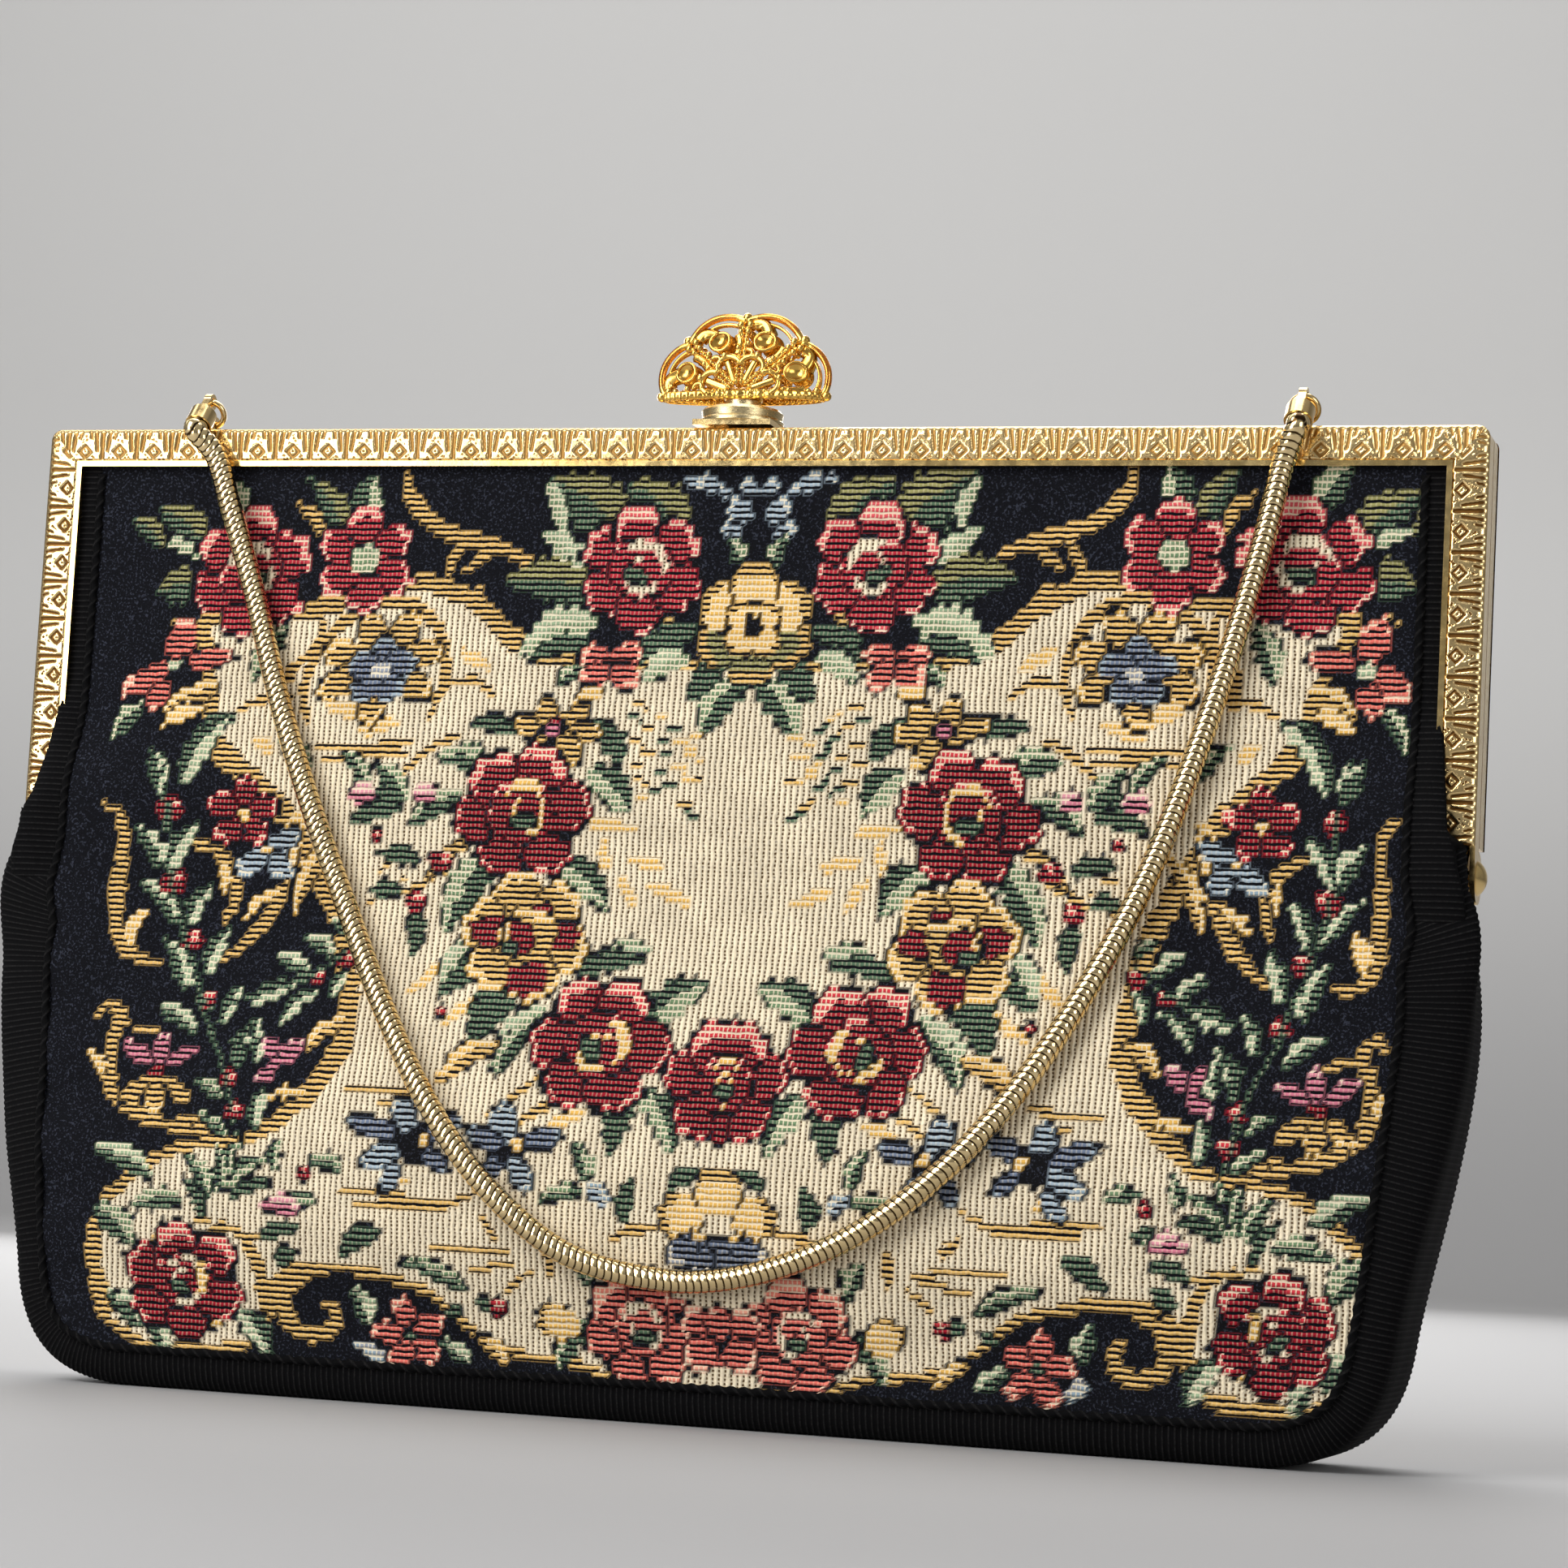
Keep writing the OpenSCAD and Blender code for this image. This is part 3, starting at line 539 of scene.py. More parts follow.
def gold_material(name, base, rough, grain=0.0):
    """Gold plate: slightly uneven in tone, with fine scratches, drawn out level where it has a grain."""
    n = Nodes(name)
    tone = n.span(n.noise(220, 4), 0.25, 0.75)
    n.look(Base_Color=n.mix(tone, tinted(base, (0.86, 0.80, 0.66)), base), Metallic=1.0)
    scratch = n.noise(900, 5, stretch=(1, 1, 14) if grain else None)
    n.look(Roughness=n.span(scratch, 0.25, 0.8, rough * 0.75, rough * 1.4))
    n.bump(scratch, 0.00003 + grain, 0.5)
    return n.material


def embossed_gold_material():
    """Gold with hollows darkened by painted shade, less on the top bar, where painted light keeps them
    paler, from the relief stored on the mesh.

    Pits cover the dotted places.
    """
    base = tuple(colours().gold)
    n = Nodes("embossed_gold")
    across, along = n.uv_mm()
    place = n.add("ShaderNodeCombineXYZ")
    n.set(place.inputs[0], across)
    n.set(place.inputs[1], along)
    cells = n.add("ShaderNodeTexVoronoi", voronoi_dimensions="2D")
    cells.inputs["Scale"].default_value = 1.55
    n.set(cells.inputs["Vector"], place.outputs[0])
    pits = n.math("MULTIPLY", n.span(cells.outputs["Distance"], 0.42, 0.24), n.attribute("dotted"))
    height = n.math("SUBTRACT", n.attribute("relief"), n.math("MULTIPLY", pits, 0.8), clamp=True)
    raised = n.span(height, 0.25, 0.8)
    tone = n.span(n.noise(180, 3), 0.3, 0.7)
    # Painted shade and light: hollows get a dark brown as painted shade on the arms, and a paler brown on
    # the top bar as painted light
    top_bar_painted_light = n.span(n.height(), (BAG_H - FACE_H - 2) * MM, (BAG_H - FACE_H + 3) * MM)
    hollow = n.mix(top_bar_painted_light, tinted(base, (0.15, 0.09, 0.045)), tinted(base, (0.44, 0.32, 0.18)))
    face = n.mix(tone, tinted(base, (0.92, 0.86, 0.74)), base)
    n.look(Base_Color=n.mix(raised, hollow, face), Metallic=1.0)
    n.look(Roughness=n.span(raised, 0.0, 1.0, 0.5, 0.22, smooth=False))
    n.bump(n.math("SUBTRACT", n.math("MULTIPLY", n.noise(1800, 4), 0.2), pits), 0.00012, 0.6)
    return n.material


def chain_material():
    """Bright gold links with dark joints, from the relief stored on the mesh."""
    base = tuple(colours().chain)
    n = Nodes("chain_gold")
    band = n.span(n.attribute("relief"), 0.3, 0.75)
    n.look(Base_Color=n.mix(band, tinted(base, (0.06, 0.04, 0.025)), base), Metallic=1.0)
    n.look(Roughness=n.span(n.noise(900, 3), 0.3, 0.7, 0.12, 0.2))
    return n.material


# Motifs of the woven picture, painted on the cloth's points in millimetres

# Thread colours from 0 to 255, then the weave: 0 plain ground, 1 rows over black, 2 rows mixed with cream,
# 3 cream cords
NAVY = (8, 9, 15, 0)
BLACK = (10, 10, 13, 0)
CREAM = (238, 223, 192, 3)
GOLD = (224, 180, 104, 1)
GOLD_PALE = (222, 174, 86, 2)
RED = (150, 24, 40, 1)
RED_PALE = (200, 54, 64, 2)
ROSY = (178, 40, 56, 1)
ROSY_PALE = (218, 88, 94, 2)
CORAL = (226, 110, 98, 1)
CORAL_PALE = (236, 136, 116, 2)
PINK = (206, 118, 138, 1)
PINK_PALE = (218, 146, 158, 2)
GREEN = (80, 106, 82, 1)
GREEN_PALE = (106, 132, 96, 2)
SILVER = (148, 168, 134, 2)
OLIVE = (150, 146, 92, 1)
BLUE = (158, 174, 186, 1)
BLUE_PALE = (140, 160, 172, 2)
VIOLET = (108, 120, 142, 1)
GREY = (146, 152, 162, 2)
PEACH = (240, 166, 142, 2)

# The two threads of a leaf: right half and left half, as seen from its foot
LEAF_THREADS = {
    "two": (GREEN, GREEN_PALE), "dark": (GREEN, GREEN), "pale": (GREEN_PALE, SILVER),
    "mixed": (GREEN, SILVER), "lined": (GREEN, OLIVE), "gold": (GOLD, GOLD_PALE),
    "amber": (GOLD_PALE, GOLD_PALE), "brown": (GOLD, GOLD), "pink": (PINK, PINK_PALE),
    "blue": (BLUE, BLUE_PALE), "mist": (BLUE_PALE, GREY)}

# A rose's petals, and the curls of its heart: distance of the middle, half length outwards and half width,
# as shares of the rose, and the angle
ROSE_PETALS = (
    (0.60, 0.36, 0.37, 262), (0.66, 0.33, 0.33, 205), (0.68, 0.31, 0.34, 322), (0.59, 0.38, 0.36, 18),
    (0.62, 0.36, 0.39, 142), (0.67, 0.33, 0.34, 80))
ROSE_CURLS = ((0.12, 0.33, 0.33, 66), (0.17, 0.23, 0.25, 196), (0.05, 0.13, 0.17, 330))


class Loom:
    """Cloth points with the colour woven at each, and the shares of rows, cream rows and cream cords."""

    def __init__(self, x, z):
        self.x, self.z = x, z
        self.rgb = np.tile(srgb(*NAVY[:3]), (*x.shape, 1))
        self.kind = np.zeros((*x.shape, 3))

    def weave(self, mask, colour):
        """Weaves a colour in its own kind of weave wherever the mask holds."""
        self.rgb[mask] = srgb(*colour[:3])
        self.kind[mask] = [colour[3] == k for k in (1, 2, 3)]

    def disc(self, cx, cz, radius, colour):
        """Round spot."""
        self.weave(np.hypot(self.x - cx, self.z - cz) < radius, colour)

    def berry(self, cx, cz, radius):
        """Red berry in a dark gap."""
        self.disc(cx, cz, radius + 0.3, BLACK)
        self.disc(cx, cz, radius, RED)
        self.disc(cx - 0.3 * radius, cz + 0.35 * radius, 0.45 * radius, RED_PALE)

    def petal(self, cx, cz, long, wide, angle, body, pale, gap=0.45, crescent=0.4, curl=False):
        """Oval petal that points outwards at an angle: dark gap round it, pale crescent at its end."""
        turn = np.radians(angle)
        dx, dz = self.x - cx, self.z - cz
        out, side = dx * np.cos(turn) + dz * np.sin(turn), dz * np.cos(turn) - dx * np.sin(turn)
        wave = 1 + 0.07 * np.sin(7 * side / wide + angle)
        d = np.hypot(out / long, side / wide) * wave
        inner = np.hypot((out + crescent * min(long, wide)) / long, side / (1.05 * wide)) * wave
        if not curl:
            self.weave(d < 1 + gap / min(long, wide), BLACK)
            self.weave(d < 1, body)
        self.weave((d < 1) & (inner > 1), pale)

    def spray(self, cx, cz, petals, body, pale, gap=0.45, rise=1.0):
        """Petals round a middle: how far out, half length, half width and angle of each; rise flattens."""
        for reach, long, wide, angle in petals:
            way = np.radians(angle)
            x, z = cx + reach * np.cos(way), cz + rise * reach * np.sin(way)
            self.petal(x, z, long, wide, angle, body, pale, gap)

    def ring(self, cx, cz, reach, long, wide, count, turn, body, pale):
        """Ring of like petals round a middle."""
        self.spray(cx, cz, [(reach, long, wide, turn + 360 * k / count) for k in range(count)], body, pale)

    def rose(self, cx, cz, r, turn, body, pale, heart):
        """Cabbage rose: six uneven petals, a folded bowl over them, pale curls in it and a dark bud."""
        for group, curl, tone in ((ROSE_PETALS, False, pale), (ROSE_CURLS, True, heart)):
            if curl:
                self.petal(cx, cz, 0.44 * r, 0.48 * r, turn + 40, body, pale, crescent=0.15)
            for reach, long, wide, angle in group:
                way = np.radians(angle + turn)
                crescent = 0.5 if curl else 0.16 + 0.5 * max(0, np.sin(way)) ** 1.5
                self.petal(cx + reach * r * np.cos(way), cz + reach * r * np.sin(way), long * r, wide * r,
                           angle + turn, body, tone, gap=0.75, crescent=crescent, curl=curl)
        way = np.radians(turn + 235)
        x, z = cx + 0.13 * r * np.cos(way), cz + 0.13 * r * np.sin(way)
        self.petal(x, z, 0.10 * r, 0.17 * r, turn + 235, GREEN, GREEN, gap=0.5)

    def leaf(self, x0, z0, x1, z1, wide, threads):
        """Pointed leaf from foot to tip, slightly bowed, its halves in two threads, with a jagged edge."""
        right, left = LEAF_THREADS[threads]
        wide = 1.35 * wide
        span = np.hypot(x1 - x0, z1 - z0)
        ux, uz = (x1 - x0) / span, (z1 - z0) / span
        along = ((self.x - x0) * ux + (self.z - z0) * uz) / span
        t = np.clip(along, 0, 1)
        bow = 0.10 * span * np.sin(np.pi * t) * np.sign(ux + 0.01)
        side = (self.z - z0) * ux - (self.x - x0) * uz - bow
        width = wide * np.sin(np.pi * t**0.85) ** 0.8 * (0.86 + 0.14 * np.sin(span * 2.6 * t))
        inside = (along > 0) & (along < 1)
        self.weave(inside & (np.abs(side) < width + 0.35), BLACK)
        self.weave(inside & (side < 0) & (side > -width), right)
        self.weave(inside & (side >= 0) & (side < width), left)

    def line(self, points, wide, colour):
        """Curved line through points, thinner at both ends."""
        curve = smooth_path(np.array(points, float), 5)
        best = np.full(self.x.shape, 1e9)
        for k, (a, d) in enumerate(zip(curve[:-1], np.diff(curve, axis=0))):
            t = np.clip(((self.x - a[0]) * d[0] + (self.z - a[1]) * d[1]) / (d @ d), 0, 1)
            share = np.clip((k + t) / (len(curve) - 1), 0.02, 0.98)
            taper = 0.35 + 0.65 * np.sin(np.pi * share) ** 0.6
            best = np.minimum(best, np.hypot(self.x - a[0] - t * d[0], self.z - a[1] - t * d[1]) / taper)
        self.weave(best < wide, colour)


def smooth_path(points, steps):
    """Catmull-Rom curve through points, with that many steps between each two."""
    padded = np.vstack([2 * points[0] - points[1], points, 2 * points[-1] - points[-2]])
    a, b, c, d = padded[:-3], padded[1:-2], padded[2:-1], padded[3:]
    t = np.linspace(0, 1, steps, endpoint=False)[None, :, None]
    a, b, c, d = (p[:, None, :] for p in (a, b, c, d))
    bend, twist = 2 * a - 5 * b + 4 * c - d, 3 * b - a - 3 * c + d
    curve = 0.5 * (2 * b + (c - a) * t + bend * t**2 + twist * t**3)
    return np.vstack([curve.reshape(-1, points.shape[1]), points[-1:]])


def signed_distance(x, z, outline_points):
    """Distance to a closed outline, below zero inside it."""
    p = np.asarray(outline_points)
    q = np.roll(p, -1, axis=0)
    best = np.full(x.shape, 1e9)
    inside = np.zeros(x.shape, bool)
    for (ax, az), (bx, bz) in zip(p, q):
        dx, dz = bx - ax, bz - az
        t = np.clip(((x - ax) * dx + (z - az) * dz) / (dx * dx + dz * dz + 1e-9), 0, 1)
        best = np.minimum(best, np.hypot(x - ax - t * dx, z - az - t * dz))
        if abs(dz) > 1e-9:
            inside ^= ((az > z) != (bz > z)) & (x < ax + (z - az) / dz * dx)
    return np.where(inside, -best, best)


# Right half of the cream field's edge, from the middle under the bouquet round to the middle of the base
CREAM_EDGE = [
    (0, 118), (30, 119), (38, 121), (42, 123.5), (46, 127), (50, 129.5), (55, 131.3), (61, 131.5),
    (68, 129), (78, 127), (88, 125.5), (94, 126), (92.5, 121.5), (90.5, 117.5), (88, 113), (87, 109),
    (85.5, 105.5), (83, 102.8), (79.5, 100), (76, 96.8), (73, 93), (70.5, 89), (68, 85), (65.8, 81),
    (63.8, 76.5), (62, 70), (60.8, 63), (60.8, 57), (62.8, 52.5), (65, 49), (68, 46), (71.5, 43),
    (75, 41), (79, 40), (85, 39.4), (90, 37.2), (94, 34), (97.5, 30), (99.5, 25), (99.5, 18),
    (97.5, 12.5), (93, 9), (88, 7.4), (82, 6.8), (77, 8), (73.5, 11), (71.6, 14.5), (71, 18),
    (69.5, 20.5), (66, 21.8), (60, 21.8), (54, 20.8), (48, 19.4), (44, 17), (40, 13.6), (36, 11),
    (30, 9.6), (24, 9), (16, 7), (0, 6)]

TOP_LEAVES = (
    (12, 138.5, 22, 148.8, 3.4, "lined"), (22.5, 138, 35.5, 149.8, 4.0, "lined"),
    (29.5, 134.3, 37, 141, 1.7, "pale"), (33, 140.5, 36.5, 149.5, 1.2, "pale"),
    (27, 130, 42.5, 132.8, 3.0, "lined"), (26, 126.5, 39.3, 120.4, 2.7, "pale"),
    (27, 122.6, 37.5, 119.4, 1.3, "dark"), (9.5, 124.6, 19.8, 119, 2.0, "dark"),
    (10.5, 120.6, 17.8, 115.8, 2.0, "pale"), (1, 116.5, 7.8, 107, 2.5, "two"),
    (4, 119, 10.3, 112.5, 1.9, "dark"), (28, 119, 31.3, 114.6, 1.2, "two"),
    (12.8, 129.4, 20.8, 123.4, 2.6, "brown"), (13.5, 128.6, 19.6, 124.4, 0.9, "amber"),
    (67, 142.5, 66.3, 150.8, 2.1, "two"), (71.2, 140.4, 77.8, 150, 1.9, "lined"),
    (75, 139.8, 79.6, 146.2, 0.9, "brown"), (88.2, 141.6, 95.2, 150.6, 2.3, "two"),
    (95.4, 138, 105.2, 145.6, 2.5, "lined"), (96.6, 137, 104, 139.6, 1.0, "pale"),
    (96.4, 131.8, 104.4, 131.2, 2.7, "lined"), (97.2, 125.6, 101.8, 125.4, 1.1, "brown"),
    (80, 125.4, 82.7, 115.6, 1.9, "two"), (84.4, 110, 90, 105, 1.5, "dark"),
    (99, 112.4, 103, 105.6, 1.3, "two"), (87.6, 114.6, 96, 110.4, 1.5, "gold"),
    (89, 111.4, 95.6, 108, 1.2, "amber"), (104, 139, 109.5, 143.5, 1.5, "lined"))
WREATH_LEAVES = (
    (20.2, 103, 26.6, 109.6, 1.7, "dark"), (25.6, 101.8, 19, 94.6, 2.3, "two"),
    (37.4, 107.2, 45.6, 108.8, 1.3, "dark"), (41.2, 101.8, 50.6, 103.2, 2.0, "two"),
    (46, 97.4, 54.6, 92, 1.8, "two"), (55.2, 99.6, 60.4, 95.2, 1.5, "dark"),
    (39.4, 88.8, 47.8, 74.6, 2.4, "two"), (30.6, 87, 21.8, 78.8, 2.2, "two"),
    (22.4, 71.6, 13.6, 73, 1.3, "pale"), (26.2, 69, 14.8, 71.2, 1.4, "dark"),
    (40, 70, 48, 64.6, 1.6, "dark"), (43.2, 74.6, 47.6, 66.6, 1.2, "pale"),
    (13.6, 61.6, 3.8, 68, 2.4, "two"), (34.6, 67, 41.6, 57.6, 2.5, "dark"),
    (30.2, 63.6, 37.8, 54.8, 1.5, "pale"), (32.6, 60, 37.2, 52.4, 1.6, "two"),
    (13, 51.2, 7.4, 41, 2.1, "two"), (14.2, 50.6, 17.6, 40.6, 1.9, "dark"),
    (52.2, 86, 59.6, 87.6, 1.2, "dark"), (55.2, 81.4, 60.6, 81.4, 1.2, "dark"),
    (53.6, 79, 52.4, 70.6, 1.2, "dark"), (56, 95, 64.6, 92.4, 1.4, "dark"),
    (55.4, 95.6, 60.6, 102.6, 1.3, "two"), (61.4, 97.8, 66.4, 104.4, 1.2, "two"),
    (71.2, 100.8, 76.4, 106, 1.3, "two"), (37, 57.6, 46.2, 51.2, 1.6, "gold"),
    (43, 90.5, 52, 83.2, 0.9, "brown"))
SIDE_LEAVES = (
    (91.6, 98.4, 84.6, 110, 1.8, "mixed"), (94.4, 97, 96.8, 104.4, 1.3, "mixed"),
    (92.6, 84.2, 88.2, 92.4, 1.4, "mixed"), (93.8, 84.6, 97.8, 91.4, 1.3, "mixed"),
    (88.8, 75.6, 86.2, 82.4, 1.2, "mixed"), (90.8, 75.2, 97.8, 83, 1.0, "mixed"),
    (85.2, 67, 82.6, 75.4, 1.3, "mixed"), (88.2, 64.6, 92.8, 73.4, 1.2, "mixed"),
    (81.8, 59, 79, 65.8, 1.1, "mixed"), (85.6, 57.6, 92.4, 62, 1.3, "mixed"),
    (65.4, 70.8, 70.2, 74, 1.1, "mixed"), (62.4, 73.4, 66.4, 76.8, 0.9, "mixed"),
    (68.8, 67.4, 74.4, 70.8, 1.1, "mixed"), (64.6, 63.8, 62.2, 69.4, 0.9, "mixed"),
    (72.4, 59.8, 66.8, 65.4, 1.1, "mixed"), (77.4, 63, 70.4, 66, 1.5, "mixed"),
    (78.6, 54.6, 75.2, 60.4, 1.1, "mixed"), (75.4, 52.8, 76.8, 59.8, 1.0, "mixed"),
    (78.4, 51.6, 79.8, 57.8, 0.8, "dark"), (74, 42.6, 73.6, 49.4, 1.1, "mixed"),
    (80.4, 47.2, 85.4, 50.6, 0.9, "two"), (78.8, 41.6, 84, 44.8, 0.9, "two"),
    (72, 94.8, 73.2, 84.6, 1.5, "amber"), (66.8, 89.4, 72.4, 77.6, 1.3, "gold"),
    (62, 60.8, 67.4, 55.6, 1.2, "gold"), (96, 78, 97.4, 71.6, 1.1, "amber"),
    (84.6, 85.6, 84.4, 80.4, 0.7, "amber"), (75.4, 81.4, 80.4, 76.6, 0.7, "amber"),
    (67, 48.6, 72.8, 47.8, 0.8, "amber"), (99.4, 50.4, 102.8, 54.8, 0.8, "amber"))
BASE_LEAVES = (
    (20.8, 36.6, 23.4, 43, 1.2, "two"), (14.6, 30.6, 13.4, 37.4, 1.3, "dark"),
    (21, 35.2, 28.4, 33.2, 1.1, "two"), (7.6, 36, 3, 39.2, 1.0, "dark"),
    (21.4, 15.4, 26, 8, 1.8, "two"), (20.4, 20.6, 23.4, 26.4, 1.4, "two"),
    (40, 18.8, 51.4, 23, 1.1, "two"), (53.6, 28, 60.4, 23.4, 1.4, "dark"),
    (40.4, 7.6, 45.4, 11.2, 1.2, "mixed"), (56.4, 12.6, 58.2, 18.8, 1.4, "mixed"),
    (54, 7.4, 58.4, 9.8, 1.0, "mist"), (33.8, 7.6, 39.8, 12.2, 1.0, "gold"),
    (90.4, 34.4, 100.4, 38.8, 1.5, "mixed"), (85, 31, 94, 29.6, 1.4, "two"),
    (93.4, 23.6, 100, 30, 1.9, "two"), (91.8, 10.8, 97.6, 16, 1.7, "mixed"),
    (88, 6.4, 91, 12.4, 1.3, "mixed"), (76.8, 14.4, 72, 7.2, 1.7, "mixed"),
    (70.6, 21.4, 66.8, 24.2, 1.3, "dark"), (73.2, 25.4, 66.4, 27.6, 1.0, "dark"),
    (68.8, 31, 64, 32, 1.0, "two"), (60, 37, 65.4, 38.2, 1.1, "two"),
    (79, 32.6, 71.6, 38.6, 1.0, "two"), (79, 32.8, 76.4, 41, 1.0, "two"),
    (80, 32.4, 80.2, 40, 0.9, "two"), (81, 31.8, 85.4, 38.6, 1.0, "two"),
    (78, 31.8, 70.4, 34.4, 0.9, "dark"), (82, 28.4, 86, 35, 0.8, "dark"),
    (70.6, 36, 70.2, 41.6, 0.8, "two"), (44.6, 14.6, 40.4, 16, 0.6, "dark"),
    (85, 25.4, 90.4, 25.2, 1.5, "amber"), (81.6, 11.4, 77.6, 14, 1.1, "amber"))
BERRIES = (
    (93, 94.4, 1.8), (92, 82.4, 2.1), (88.3, 73, 1.7), (85, 63.4, 1.5), (63, 70.4, 1.5),
    (67.5, 67.4, 1.1), (79.3, 50.6, 1.4), (78, 45.4, 1.5), (49.3, 86.4, 1.8), (53, 80, 1.7),
    (35.5, 16.7, 1.4), (66.2, 36, 1.2), (59.5, 90.6, 1.0), (47, 62.4, 0.9))
# Gold lines: half width, then the points they pass through
SCROLLS = (
    (1.3, (38, 135.4), (43, 138), (50, 140), (55.5, 142), (59.5, 146.5), (60.5, 151)),
    (0.9, (44, 138), (46.5, 137), (49.4, 134)), (0.9, (49.6, 139), (51.6, 136.6), (52.6, 132.8)),
    (1.0, (44, 126.6), (46.4, 129), (47.4, 132)),
    (1.1, (74, 90), (74.8, 82), (76.6, 77), (79.4, 73), (82.6, 70)),
    (1.0, (89.4, 89), (85.6, 87.6), (83.2, 84.4), (82.2, 80.4), (83.4, 76.4)),
    (1.1, (102.6, 95), (100.4, 93), (99.8, 88), (100.2, 82), (100, 76), (98.8, 72), (96, 69.6),
     (93, 69.4)),
    (1.1, (101.8, 60.2), (99.8, 62.2), (97.8, 60), (98.6, 56), (99, 51.4), (97, 47), (91.6, 43.8),
     (85, 42.2), (77.4, 40)), (0.6, (91.6, 58), (96.6, 58.6)), (0.7, (80, 42.6), (86.4, 44.2)),
    (1.2, (57, 22), (63, 21.4), (67.5, 19.2), (69.4, 15.5), (68, 12), (64.5, 10.8), (61.6, 12.3),
     (61.2, 14.8), (62.8, 16)),
    (1.2, (79.4, 27.6), (75.4, 25.6), (73.2, 21), (72.5, 16), (73.2, 11.5), (75.6, 9)),
    (1.1, (97.4, 32), (99.2, 26), (99, 19), (96.8, 13.6)), (1.0, (76.4, 9.4), (82, 7.2), (88.6, 8.2)),
    (1.2, (52, 110), (50.4, 117), (53.4, 125), (60, 129.4), (67.4, 127.8), (72.6, 122.4), (73.8, 115),
     (72, 108.6)), (0.8, (42, 113.4), (46, 115.8), (51, 114.6)),
    (0.8, (55, 105.4), (62, 104.8), (70, 105)), (0.7, (55, 103.2), (62, 103.6), (69, 103)),
    (1.0, (74.6, 128), (73.4, 123), (76.6, 118), (77, 112)),
    (0.8, (76, 113), (80, 112.6), (83.6, 110.8)),
    (0.9, (38.4, 34.2), (45.6, 31.4), (52, 33.2), (60, 33.6)),
    (0.7, (44, 32.6), (52, 31.6), (58, 31.8)), (0.6, (31, 24.6), (38, 25.4), (45.4, 25.4)),
    (0.7, (27.2, 28.4), (26.6, 22)), (0.6, (30, 22.4), (33.8, 19.2)), (0.7, (35, 27), (38, 30.8)),
    (0.6, (32, 23.6), (39.4, 22.4)), (0.7, (26, 49.4), (29.4, 47.2), (33.4, 44.8)),
    (0.7, (30, 52.4), (37.4, 46)), (0.7, (47.6, 50.4), (53, 49.4), (60, 49.6)),
    (0.6, (49, 47.6), (55, 47.6)), (0.6, (48, 85), (55, 81.4)), (0.6, (54.6, 88.4), (59.4, 84.4)),
    (0.6, (55, 83.4), (60.4, 79.6)), (0.8, (8.4, 30.4), (13, 29.6), (16.6, 28.2)),
    (0.6, (72, 25.2), (77, 26.4), (83.4, 28)), (0.7, (47, 107), (52, 104.4), (58, 99)))
TWIGS = (
    (0.8, (18, 92), (25, 92.8)), (0.8, (12.8, 86.4), (18.4, 87.4)), (0.8, (8.6, 80.4), (14.6, 83.2)),
    (0.7, (17.4, 80), (20, 84.6)), (0.7, (22.4, 86), (22.4, 90.6)), (0.7, (47, 71), (52.4, 65)),
    (0.7, (41.6, 64.4), (46.4, 60.4)), (1.0, (57.6, 109), (63.4, 107.4)),
    (0.9, (43.4, 118), (48.6, 121)), (0.8, (49.4, 35.4), (52.6, 36)),
    (1.0, (63.4, 109.6), (69, 112.4)), (0.9, (77.6, 104.4), (80.4, 106)),
    (0.7, (22, 47), (27.4, 45.4)))
SEEDS = (
    (8.6, 94.4), (10.2, 96.2), (16.2, 96.8), (14.8, 98.4), (7.6, 99.8), (9.8, 100.4), (12.4, 99.2),
    (16.8, 99.6), (11.2, 102.2), (14.4, 101.4), (18.4, 102.4), (8.6, 103.6), (12.8, 104.2), (16, 104),
    (10, 105.6), (14.2, 106.4), (18, 105.8), (8.4, 107), (12, 108.2), (16.4, 108.4), (14, 110.2),
    (18.6, 109.8), (17.8, 111.8))


def weave_picture(x, z):
    """Weaves the picture on cloth points; its halves mirror about a leaning middle, the left one wider."""
    row, end = sizes().weft_pitch / MM, sizes().bead_pitch / MM
    z = np.round(z / row) * row
    x = np.round(x / end) * end
    across = x - (10.2 - 0.035 * z)
    away = np.abs(across)
    away = np.where(across < 0, away * (1 - 0.0006 * away * ramp(128, 108, z)), away)
    loom = Loom(away, z - 0.012 * x)
    edge = smooth_path(np.array(CREAM_EDGE), 5)
    gap = signed_distance(loom.x, loom.z, np.vstack([edge, [[-40, 6], [-40, 118]]]))
    band = 1.1 + 1.5 * ramp(40, 52, loom.z) * ramp(118, 104, loom.z) + 1.2 * ramp(119, 124, loom.z)
    loom.weave(gap < 0, CREAM)
    loom.weave((gap > -0.7) & (gap < band) & (loom.z > 21), GOLD)
    loom.weave((gap > -0.5) & (gap < 0.9) & (loom.z <= 21), GOLD)
    for wide, *points in SCROLLS:
        loom.line(points, wide, GOLD)
    for wide, *points in TWIGS:
        loom.line(points, 1.35 * wide, GOLD_PALE)
    for k, (cx, cz) in enumerate(SEEDS):
        loom.line([(cx - 1.2, cz - 0.4), (cx + 1.3, cz + 0.4)], 0.55, (GREEN, GOLD, GOLD_PALE)[k % 3])
    for leaves in (TOP_LEAVES, WREATH_LEAVES, SIDE_LEAVES, BASE_LEAVES):
        for leaf in leaves:
            loom.leaf(*leaf)
    for berry in BERRIES:
        loom.berry(*berry)
    weave_top(loom)
    weave_wreath(loom)
    weave_side(loom)
    weave_base(loom)
    return loom.rgb, loom.kind


